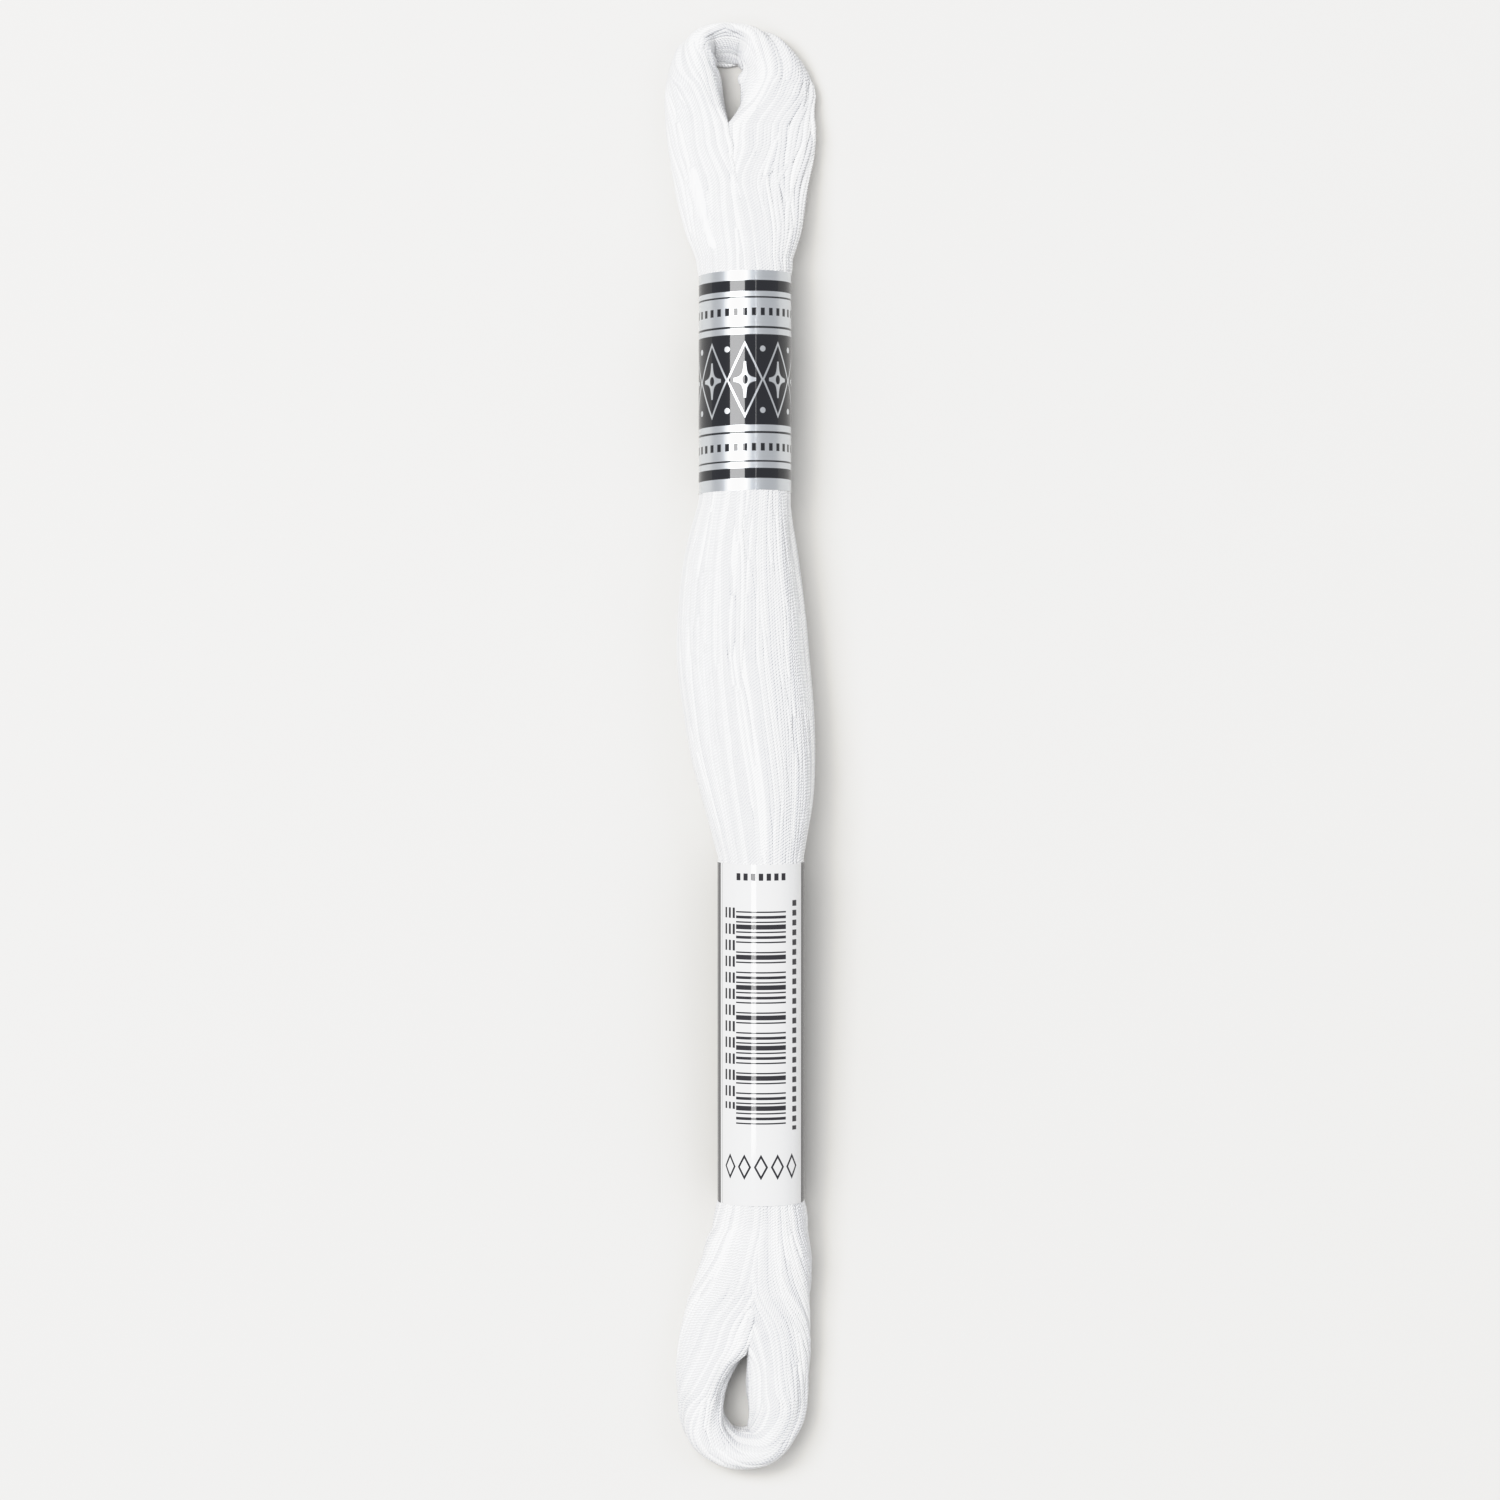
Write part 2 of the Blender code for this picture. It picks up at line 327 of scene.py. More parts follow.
@dataclass(frozen=True)
class CottonFinish:
    """Mercerised cotton thread, twisted from four plies."""

    colour: tuple[float, float, float] = (0.985, 0.985, 0.983)
    # The darker colour: painted shade in the grooves between the plies, and the dim end of each thread's
    # random tone.
    groove_shade_and_dim_tone: tuple[float, float, float] = (0.59, 0.595, 0.62)
    roughness: float = 0.55
    plies: int = 4
    ply_depth: float = 0.062
    plumpness: float = 0.6  # below 1, the plies are full and the grooves between them are narrow
    ply_groove_shade_share: float = 0.40  # how much of the colour is painted shade in the grooves between the plies
    tone_share: float = 0.64  # how much of it is each thread's own tone
    slub_share: float = 0.22  # how much of it is chance along the thread
    slub_relief: float = 0.35  # how high the thread's unevenness stands beside its plies

    def make(self) -> bpy.types.Material:
        """Returns the material, which reads the thread's own map: turns of twist along, and one round."""
        sheet = NodeSheet("cotton_thread")
        along, around = sheet.shaped("run")
        twist = ((along + around) * (2 * math.pi * self.plies)).cosine() * 0.5 + 0.5
        lobes = twist.power(self.plumpness)
        slub = sheet.grain(900, 2)
        tone = sheet.node("ShaderNodeAttribute", {"attribute_name": "tone"}, {}, "Fac")
        # The grooves between the plies are darkened in the colour, which is painted shade; each thread's tone
        # and the slub along it are random.
        bright_share = lobes * self.ply_groove_shade_share + tone * self.tone_share + slub * self.slub_share
        colour = sheet.mixed(bright_share.most(0.0).least(1.0), self.groove_shade_and_dim_tone, self.colour)
        return sheet.finish(
            {
                "Base Color": colour,
                "Roughness": self.roughness,
                "Sheen Weight": 0.25,
                "Sheen Roughness": 0.35,
                "Specular IOR Level": 0.4,
                "Normal": sheet.relief(lobes + slub * self.slub_relief, self.ply_depth * MM),
            }
        )


@dataclass(frozen=True)
class InnerCottonFinish:
    """The cotton of the turns that lie under the outer ones."""

    colour: tuple[float, float, float] = (0.96, 0.96, 0.965)
    # The darker streak colour: painted shade between the inner threads.
    groove_shade_and_dim_tone: tuple[float, float, float] = (0.85, 0.85, 0.86)

    def make(self) -> bpy.types.Material:
        """Returns the material: thread-wide streaks along the hank, laid out by random noise, the darker ones
        painted shade between the threads.
        """
        sheet = NodeSheet("inner_cotton")
        streaks = sheet.grain(1400, 1, (1.0, 0.05, 1.0))
        colour = sheet.mixed(streaks, self.groove_shade_and_dim_tone, self.colour)
        return sheet.finish(
            {"Base Color": colour, "Roughness": 0.6, "Normal": sheet.relief(streaks, 0.3 * MM)}
        )


@dataclass(frozen=True)
class BarePaperFinish:
    """The unprinted inner face and the cut edges of a band."""

    name: str
    colour: tuple[float, float, float]

    def make(self) -> bpy.types.Material:
        """Returns the material: plain paper with its fibres."""
        sheet = NodeSheet(self.name)
        fibres = sheet.grain(2600, 3)
        dim = tuple(part * 0.93 for part in self.colour)
        return sheet.finish(
            {
                "Base Color": sheet.mixed(fibres, dim, self.colour),
                "Roughness": 0.75,
                "Normal": sheet.relief(fibres, 0.02 * MM),
            }
        )


@dataclass(frozen=True)
class SilverPrintFinish:
    """Silvered paper, printed in black: a ring at each end and a wide ring of flowers between them.

    Places and sizes are in millimetres, and places along the band are measured from its outer end.
    """

    silver: tuple[float, float, float] = (0.63, 0.655, 0.685)
    black: tuple[float, float, float] = (0.005, 0.006, 0.010)
    soft: float = 0.05
    plain_rings: tuple[tuple[float, float], ...] = (
        (1.15, 2.45),
        (3.05, 3.25),
        (6.55, 6.8),
        (18.85, 19.1),
        (22.25, 22.45),
        (23.15, 24.35),
    )
    wide_ring: tuple[float, float] = (7.5, 18.1)
    bead_rows: tuple[float, float] = (4.85, 20.7)
    bead_step: float = 1.07
    bead_half: tuple[float, float] = (0.26, 0.45)  # round the band and along it
    repeat: float = 4.28  # from one flower to the next
    lattice_half: float = 4.4  # how far a lattice opening reaches along the band
    lattice_line: tuple[float, float] = (0.97, 0.055)  # where its line lies and half its width, as shares
    slimness: float = 0.62  # a flower's width as a share of its length along the band
    petal: float = 0.16
    flower: float = 1.32
    heart: float = 0.34
    spark: float = 0.34
    spark_height: float = 3.6  # from the ring's middle line

    def ink(self, across: Signal, down: Signal) -> Signal:
        """The printed black.

        Args:
            across: millimetres round the band from the middle of its top.
            down: millimetres along the band from its outer end.

        Returns:
            The mask of the ink.
        """
        soft = self.soft
        round_half, along_half = self.bead_half
        first, second = [(down - row).inside(along_half, soft) for row in self.bead_rows]
        beads = across.cycle(self.bead_step).inside(round_half, soft) * first.most(second)
        low, high = self.wide_ring
        place = across.cycle(self.repeat)
        height = down - (low + high) / 2
        lattice = abs(place) / (self.repeat / 2) + abs(height) / self.lattice_half
        line, line_half = self.lattice_line
        frame = (lattice - line).inside(line_half, soft / 2)
        reach = place.root_sum(height * self.slimness)
        petals = (abs(place) * abs(height) * self.slimness).inside(self.petal, soft)
        heart = reach.inside(self.heart, soft)
        flower = petals * reach.inside(self.flower, soft) * (1 - heart)
        from_joint = abs(place - self.repeat / 2).least(abs(place + self.repeat / 2))
        spark = from_joint.root_sum(abs(height) - self.spark_height).inside(self.spark, soft)
        silvered = frame.most(flower).most(spark)
        wide = down.between(low, high, soft) * (1 - silvered)
        return down.in_any(self.plain_rings, soft).most(beads).most(wide)

    def make(self) -> bpy.types.Material:
        """Returns the material, which reads the band's own map in millimetres."""
        sheet = NodeSheet("silvered_print")
        across, down = sheet.shaped("wrap")
        ink = self.ink(across, down)
        cockle = sheet.grain(150, 1, (1.0, 0.5, 1.0))
        return sheet.finish(
            {
                "Base Color": sheet.mixed(ink, self.silver, self.black),
                "Metallic": (1 - ink) * 0.94,
                "Roughness": 0.33,
                "Specular IOR Level": 0.05,
                "Coat Weight": 1.0,
                "Coat Roughness": 0.04,
                "Coat IOR": 1.5,
                "Normal": sheet.relief(cockle, 0.05 * MM),
            }
        )


@dataclass(frozen=True)
class WhitePrintFinish:
    """White coated paper, printed in black: bars, rows of dots and a row of small diamonds.

    Places and sizes are in millimetres, round from the middle of the top and along from the outer end.
    Halves are given round the band first, and then along it.
    """

    white: tuple[float, float, float] = (0.76, 0.76, 0.762)
    black: tuple[float, float, float] = (0.018, 0.017, 0.022)
    soft: float = 0.05
    front: float = 5.98  # how far round the white front goes each way
    block_half: float = 3.1
    block_ends: tuple[float, float] = (5.4, 30.6)
    bar_kinds: tuple[tuple[float, float, float], ...] = (
        (5.55, 1.18, 0.09),
        (6.15, 2.36, 0.17),
        (7.30, 3.54, 0.28),
    )  # for each width of bar: its first place, the step to the next and half a bar
    dash_half: tuple[float, float] = (0.17, 0.62)
    dash_step: tuple[float, float] = (0.62, 1.9)
    dash_ends: tuple[float, float] = (4.6, 28.7)
    dash_left: float = 4.05
    dash_reach: float = 0.85
    dot_half: tuple[float, float] = (0.36, 0.34)
    dot_step: float = 1.15
    dot_ends: tuple[float, float] = (4.2, 31.2)
    dot_right: float = 4.45
    top_half: tuple[float, float] = (0.27, 0.42)
    top_step: float = 0.92
    top_row: float = 1.45
    top_reach: float = 3.2
    diamond_half: tuple[float, float] = (0.86, 1.55)
    diamond_step: float = 2.0
    diamond_row: float = 35.45
    diamond_line: tuple[float, float] = (0.82, 0.16)  # where its line lies and half its width, as shares
    diamond_reach: float = 5.0
    diamond_ends: tuple[float, float] = (33.2, 37.6)
    rule_left: float = 5.55
    rule_half: float = 0.07
    rule_strength: float = 0.45

    def bars(self, across: Signal, down: Signal) -> Signal:
        """A block of bars across the front, in three widths that come round in turn."""
        block = across.inside(self.block_half, self.soft) * down.between(*self.block_ends, self.soft)
        thin, middle, thick = [
            (down - first).cycle(step).inside(half, self.soft) for first, step, half in self.bar_kinds
        ]
        return block * thin.most(middle).most(thick)

    def rows(self, across: Signal, down: Signal) -> Signal:
        """Rows of small dots and dashes beside and above the bars."""
        soft = self.soft
        beside = across + self.dash_left
        dashes = down.cycle(self.dash_step[1]).inside(self.dash_half[1], soft)
        dashes = dashes * down.between(*self.dash_ends, soft)
        columns = beside.cycle(self.dash_step[0]).inside(self.dash_half[0], soft)
        dashes = dashes * (columns * beside.inside(self.dash_reach, soft))
        dots = down.cycle(self.dot_step).inside(self.dot_half[1], soft) * down.between(*self.dot_ends, soft)
        dots = dots * (across - self.dot_right).inside(self.dot_half[0], soft)
        top = (down - self.top_row).inside(self.top_half[1], soft)
        top = top * across.cycle(self.top_step).inside(self.top_half[0], soft)
        return dashes.most(dots).most(top * across.inside(self.top_reach, soft))

    def diamonds(self, across: Signal, down: Signal) -> Signal:
        """A row of five small diamonds below the bars."""
        wide, tall = self.diamond_half
        reach = abs(across.cycle(self.diamond_step)) / wide + abs(down - self.diamond_row) / tall
        line, line_half = self.diamond_line
        outline = (reach - line).inside(line_half, self.soft) * across.inside(self.diamond_reach, self.soft)
        return outline * down.between(*self.diamond_ends, self.soft)

    def make(self) -> bpy.types.Material:
        """Returns the material, which reads the band's own map in millimetres."""
        sheet = NodeSheet("white_print")
        across, down = sheet.shaped("wrap")
        side = 1 - across.inside(self.front, self.soft)
        rule = (across + self.rule_left).inside(self.rule_half, self.soft) * self.rule_strength
        ink = side.most(self.bars(across, down)).most(self.rows(across, down))
        ink = ink.most(self.diamonds(across, down)).most(rule)
        fibres = sheet.grain(2400, 3)
        cockle = sheet.grain(220, 2, (1.0, 0.6, 1.0))
        white = sheet.mixed(fibres, tuple(part * 0.965 for part in self.white), self.white)
        return sheet.finish(
            {
                "Base Color": sheet.mixed(ink, white, self.black),
                "Roughness": 0.5 + fibres * 0.08,
                "Specular IOR Level": 0.05,
                "Coat Weight": 1.0,
                "Coat Roughness": 0.05,
                "Coat IOR": 1.5,
                "Normal": sheet.relief(cockle + fibres * 0.05, 0.05 * MM),
            }
        )


@dataclass(frozen=True)
class FloorFinish:
    """The pale board that the hank lies on."""

    colour: tuple[float, float, float] = (0.715, 0.703, 0.676)

    def make(self) -> bpy.types.Material:
        """Returns the material: matt, and slightly uneven."""
        sheet = NodeSheet("pale_board")
        mottle = sheet.grain(90, 3)
        dim = tuple(part * 0.985 for part in self.colour)
        return sheet.finish({"Base Color": sheet.mixed(mottle, dim, self.colour), "Roughness": 0.8})


# ---------------------------------------------------------------------------------------------------------
# The hank's form
# ---------------------------------------------------------------------------------------------------------


@dataclass(frozen=True)
class BandFit:
    """Where a band grips the trunk."""

    diameter: float
    x: float
    outer_end: float
    inner_end: float
    pitch: float  # degrees
    clearance: float = 0.12  # how far its outer end stays above the resting surface
    slack: float = 0.04  # between the paper and the thread inside it

    @property
    def length(self) -> float:
        """The band's length."""
        return abs(self.outer_end - self.inner_end)

    def axis_height(self, share: float) -> float:
        """Height of the axis, a share of the way from the outer end to the inner one."""
        pitch = math.radians(self.pitch)
        return self.diameter / 2 * math.cos(pitch) + self.clearance + share * self.length * math.sin(pitch)

    @property
    def trunk_radius(self) -> float:
        """The radius of the thread inside the band."""
        return self.diameter / 2 - PAPER_WALL - self.slack


FOIL_FIT = BandFit(diameter=10.9, x=0.55, outer_end=55.4, inner_end=29.7, pitch=2.5)
LABEL_FIT = BandFit(diameter=10.2, x=2.42, outer_end=-53.4, inner_end=-13.4, pitch=3.5)
PAPER_WALL = 0.12


@dataclass(frozen=True)
class HankForm:
    """The outline that the turns of thread fill, as tables of cross-sections in millimetres.

    A trunk row is y, x, half width, half height, and lift of its underside above the surface. A loop row
    is x, y, half across, half height, lift, lean and roll in degrees, square to the loop's path.
    """

    belly: tuple[tuple[float, ...], ...] = (
        (29.3, 0.55, 5.20, 5.25, 1.45),
        (26.4, 0.30, 5.75, 5.70, 0.85),
        (22.0, 0.08, 6.60, 6.15, 0.20),
        (16.5, 0.08, 7.30, 6.50, -0.25),
        (10.0, 0.25, 7.70, 6.70, -0.45),
        (4.0, 0.85, 7.60, 6.80, -0.45),
        (-1.5, 1.40, 7.20, 6.70, -0.20),
        (-6.0, 1.90, 6.50, 6.30, 0.45),
        (-10.5, 2.25, 5.50, 5.50, 1.75),
        (-13.0, 2.42, 4.95, 4.95, 2.65),
    )
    upper_web: tuple[tuple[float, ...], ...] = (
        (72.8, -1.45, 0.90, 1.00, 2.60),
        (70.0, -1.30, 1.90, 2.00, 1.80),
        (66.0, -0.90, 3.00, 3.10, 0.90),
        (61.5, -0.10, 4.40, 4.40, 0.35),
        (58.2, 0.40, 5.60, 5.00, 0.10),
        (55.8, 0.55, 5.50, 5.20, 0.20),
    )
    lower_web: tuple[tuple[float, ...], ...] = (
        (-53.8, 2.45, 5.20, 4.95, 0.20),
        (-56.4, 2.35, 5.55, 4.85, 0.10),
        (-60.0, 1.90, 4.30, 4.20, 0.35),
        (-64.5, 1.30, 2.90, 3.00, 0.90),
        (-68.0, 1.05, 1.50, 1.80, 1.90),
        (-70.2, 1.00, 0.70, 1.00, 2.60),
    )
    upper_loop: tuple[tuple[float, ...], ...] = (
        (-1.80, 56.3, 2.40, 3.90, 1.60, 0, 0),
        (-2.65, 58.8, 3.05, 4.70, 0.40, 0, 0),
        (-3.60, 62.2, 3.20, 4.40, 0.05, 0, 0),
        (-4.65, 68.0, 3.40, 3.75, -0.20, 0, 2),
        (-5.25, 74.0, 3.50, 3.25, -0.30, 0, 10),
        (-5.60, 78.0, 3.25, 3.10, -0.30, 2, 22),
        (-5.20, 81.0, 2.45, 3.25, -0.30, 8, 42),
        (-4.00, 82.6, 1.65, 3.60, -0.30, 22, 72),
        (-1.80, 82.6, 1.45, 3.90, -0.30, 35, 88),
        (0.35, 82.65, 1.85, 3.55, -0.30, 26, 74),
        (2.30, 81.55, 2.85, 3.00, -0.30, 14, 48),
        (3.65, 79.75, 3.95, 2.65, -0.30, 17, 27),
        (4.40, 77.6, 4.72, 2.50, -0.30, 20, 13),
        (4.40, 75.0, 4.80, 2.45, -0.30, 22, 4),
        (3.75, 71.2, 5.33, 2.80, -0.25, 22, 0),
        (3.45, 65.0, 4.35, 3.50, -0.10, 15, 0),
        (3.15, 60.0, 3.75, 4.35, 0.20, 5, 0),
        (2.90, 56.3, 2.70, 3.90, 1.60, 0, 0),
    )
    lower_loop: tuple[tuple[float, ...], ...] = (
        (0.60, -54.4, 2.20, 3.60, 1.60, 0, -64),
        (-0.60, -57.2, 3.00, 4.60, 0.30, 0, -52),
        (-1.45, -60.5, 3.10, 4.50, 0.00, 0, -35),
        (-2.80, -66.0, 3.60, 4.25, -0.25, 0, -3),
        (-3.75, -71.5, 3.60, 4.05, -0.35, 0, 24),
        (-4.70, -76.0, 2.70, 3.95, -0.35, 0, 45),
        (-3.60, -80.8, 2.30, 3.80, -0.30, 14, 74),
        (-0.55, -82.7, 1.90, 3.75, -0.30, 20, 104),
        (2.65, -82.1, 2.45, 3.70, -0.30, 12, 140),
        (4.15, -79.3, 3.10, 3.75, -0.35, 2, 180),
        (4.25, -75.0, 3.60, 3.85, -0.35, 0, 208),
        (4.55, -70.5, 3.70, 4.00, -0.35, 0, 188),
        (4.65, -65.5, 3.50, 4.20, -0.25, 0, 150),
        (4.90, -60.0, 3.40, 4.45, 0.00, 0, 112),
        (4.50, -54.4, 2.80, 3.60, 1.60, 0, 90),
    )


def read_curve(at: np.ndarray, values: np.ndarray, places: np.ndarray) -> np.ndarray:
    """Reads a table on a smooth curve through its rows.

    Args:
        at: the running length of each row, rising.
        values: the rows.
        places: the running lengths to read at.

    Returns:
        One row for each place.
    """
    slopes = np.gradient(values, at, axis=0)
    before = np.clip(np.searchsorted(at, places, side="right") - 1, 0, len(at) - 2)
    span = (at[before + 1] - at[before])[:, None]
    t = (places[:, None] - at[before][:, None]) / span
    return (
        values[before] * (2 * t**3 - 3 * t**2 + 1)
        + slopes[before] * span * (t**3 - 2 * t**2 + t)
        + values[before + 1] * (3 * t**2 - 2 * t**3)
        + slopes[before + 1] * span * (t**3 - t**2)
    )


def eased(value: np.ndarray, low: np.ndarray | float, high: np.ndarray | float) -> np.ndarray:
    """0 below low, 1 above high, and a smooth rise between them."""
    t = np.clip((value - low) / (high - low), 0.0, 1.0)
    return t * t * (3 - 2 * t)


def read_rows(places: np.ndarray, at: np.ndarray, rows: np.ndarray) -> np.ndarray:
    """Reads dense rows on straight lines between them: one row for each place."""
    return np.column_stack([np.interp(places, at, column) for column in rows.T])


def running_length(points: np.ndarray, longest: float = math.inf) -> np.ndarray:
    """The length along a path at each of its points, with no step counted as more than the longest."""
    steps = np.hypot(*(np.diff(points, axis=0).T))
    return np.concatenate([[0.0], np.cumsum(np.minimum(steps, longest))])


def to_polar(points: np.ndarray) -> tuple[np.ndarray, np.ndarray]:
    """The reach and the angle of points in a plane."""
    return np.hypot(points[..., 0], points[..., 1]), np.arctan2(points[..., 1], points[..., 0])


def from_polar(reach: np.ndarray, angle: np.ndarray) -> np.ndarray:
    """Points in a plane, from their reach and their angle."""
    return np.stack([reach * np.cos(angle), reach * np.sin(angle)], axis=-1)


NO_FENCE = -100.0
LOOP_GROOVE = 0.16  # depth of the grooves between bunches round an eye
LONE_CORE = 0.42  # how far out a lone leg's core lies, as a share of its half width
NEAR_CORE = 0.6  # nearer the core than this, strands move out less
# For each set of bunches: its share of the relief, its count, its drift along the hank and its start.
BUNCH_WAVES = ((0.62, 5, 0.055, 0.4), (0.38, 8, -0.04, 2.0))


@dataclass(frozen=True)
class SlantedFace:
    """The face that the turns show towards the upper eye, where their outline leans."""

    leaning: tuple[float, float] = (21.0, 29.0)  # degrees of lean, from none of the face to all of it
    foot: float = 0.72  # how far in its foot lies, as a share of the outline's reach
    span: float = 1.48  # the share of the reach that it rises over
    hollow: float = 1.4  # above 1, it rises late
    sole: float = 0.25  # how thick the turns are at its foot
    tuck: float = 0.85  # how much of what lies past the foot is drawn in under it
    lowest: float = 0.26  # half a thread


@dataclass
class Section:
    """One ellipse for each station of the ring: the thread's outline there, outwards and up."""

    out: np.ndarray
    up: np.ndarray
    half_out: np.ndarray
    half_up: np.ndarray
    lean: np.ndarray
    swell: np.ndarray  # depth of the grooves between bunches
    phase: np.ndarray  # how far the bunches have turned
    drift: np.ndarray  # the running length that their drift is read at
    own: np.ndarray  # 1 where a leg's turns keep together, apart from the other leg's
    fence: np.ndarray  # how far in they may lie

    @classmethod
    def of_loop(cls, rows: np.ndarray, out: np.ndarray) -> "Section":
        """The sections of a stretch of an eye's loop.

        Args:
            rows: the loop's dense rows there.
            out: how far out their middles lie.

        Returns:
            The sections, with shallow grooves and no fence.
        """
        none = np.zeros(len(rows))
        return cls(
            out=out,
            up=rows[:, 4],
            half_out=rows[:, 2],
            half_up=rows[:, 3],
            lean=rows[:, 5],
            swell=none + LOOP_GROOVE,
            phase=rows[:, 6],
            drift=none,
            own=none,
            fence=none + NO_FENCE,
        )

    @property
    def tilt(self) -> tuple[np.ndarray, np.ndarray]:
        """The cosine and the sine of each station's lean."""
        return np.cos(self.lean)[:, None], np.sin(self.lean)[:, None]

    def hold(self, places: np.ndarray, margin: float, outward: float) -> np.ndarray:
        """Moves strands a little outwards, but not past the outline or into the other leg's half.

        Args:
            places: points by station and strand.
            margin: how far a strand's middle stays inside.
            outward: how far they move.

        Returns:
            Where they then are.
        """
        core = np.stack([self.out + LONE_CORE * self.half_out * self.own, self.up], axis=-1)
        away = places - core[:, None, :]
        reach = np.maximum(np.linalg.norm(away, axis=-1), NEAR_CORE)
        places = places + away * (outward / reach)[..., None]
        share, from_middle = self.share(places, margin)
        places = places + from_middle * (1 / np.maximum(share, 1.0) - 1)[..., None]
        places[..., 0] = np.maximum(places[..., 0], self.fence[:, None])
        return places

    def edged(self, places: np.ndarray, amount: np.ndarray, slant: SlantedFace) -> np.ndarray:
        """Where the outline leans, thins it to an edge at its top, with one slanting face towards the eye.

        Args:
            places: points by station and strand.
            amount: how far each station follows this outline, from 0 to 1.
            slant: the face.

        Returns:
            Where they then are.
        """
        cos, sin = self.tilt
        half_out, half_up, up = self.half_out[:, None], self.half_up[:, None], self.up[:, None]
        outermost = np.arctan2(half_up * sin, half_out * cos)
        reach = np.hypot(half_up * sin, half_out * cos)
        bow = np.arccos(np.clip((places[..., 0] - self.out[:, None]) / reach, -1.0, 1.0))
        heights = []
        for turn in (outermost + bow, outermost - bow, outermost + math.pi):
            heights.append(up + half_up * np.sin(turn) * cos - half_out * np.cos(turn) * sin)
        top, foot = np.maximum(heights[0], heights[1]), np.minimum(heights[0], heights[1])
        ridge = up + np.hypot(half_up * cos, half_out * sin)
        rise = np.clip((slant.foot + np.cos(bow)) / slant.span, 0.0, 1.0) ** slant.hollow
        face = np.minimum(top, heights[2] + slant.sole + (ridge - heights[2] - slant.sole) * rise)
        share = np.clip((places[..., 1] - foot) / np.maximum(top - foot, 0.3), 0.0, 1.05)
        follow = (amount * eased(np.degrees(self.lean), *slant.leaning))[:, None]
        lowered = places[..., 1] + follow * (foot + share * (face - foot) - places[..., 1])
        past = np.maximum(self.out[:, None] - slant.foot * reach - places[..., 0], 0)
        tucked = places[..., 0] + follow * slant.tuck * past
        return np.stack([tucked, np.maximum(lowered, slant.lowest)], axis=-1)

    def place(self, disc: np.ndarray) -> np.ndarray:
        """Takes points of the unit disc to the sections.

        Args:
            disc: points by station and strand, outwards and up.

        Returns:
            Their places in millimetres.
        """
        across = disc[..., 0] * self.half_out[:, None]
        high = disc[..., 1] * self.half_up[:, None]
        cos, sin = self.tilt
        out = self.out[:, None] + across * cos + high * sin
        up = self.up[:, None] + high * cos - across * sin
        return np.stack([out, up], axis=-1)

    def share(self, places: np.ndarray, within: float) -> tuple[np.ndarray, np.ndarray]:
        """How far out each place lies, as a share of the outline less a margin.

        Args:
            places: points by station and strand.
            within: the margin, half a thread.

        Returns:
            The shares, and the places measured from the section's middle.
        """
        from_middle = places - np.stack([self.out, self.up], axis=-1)[:, None, :]
        cos, sin = self.tilt
        across = from_middle[..., 0] * cos - from_middle[..., 1] * sin
        high = from_middle[..., 0] * sin + from_middle[..., 1] * cos
        angle = np.arctan2(high, across) + self.phase[:, None]
        drift = self.drift[:, None]
        relief = np.zeros_like(angle)
        for part, count, pace, start in BUNCH_WAVES:
            relief = relief + part * np.cos(count * angle + pace * drift + start)
        inset = within - self.swell[:, None] * relief
        half_out = np.maximum(self.half_out[:, None] - inset, 0.05)
        half_up = np.maximum(self.half_up[:, None] - inset, 0.05)
        return np.hypot(across / half_out, high / half_up), from_middle


@dataclass
class Ring:
    """The stations of the ring of thread, followed clockwise as seen from above."""

    side: np.ndarray  # -1 on the left leg, 1 on the right one, 0 round an eye's far end
    middle: np.ndarray
    outwards: np.ndarray
    plane: np.ndarray  # which plane across the trunk the station lies in, or -1
    trunk: Section
    loop: Section
    looped: np.ndarray  # the loop's share in where the thread lies
    roll: np.ndarray

    @property
    def run(self) -> np.ndarray:
        """The running length at each station."""
        return running_length(self.middle, 3.0)


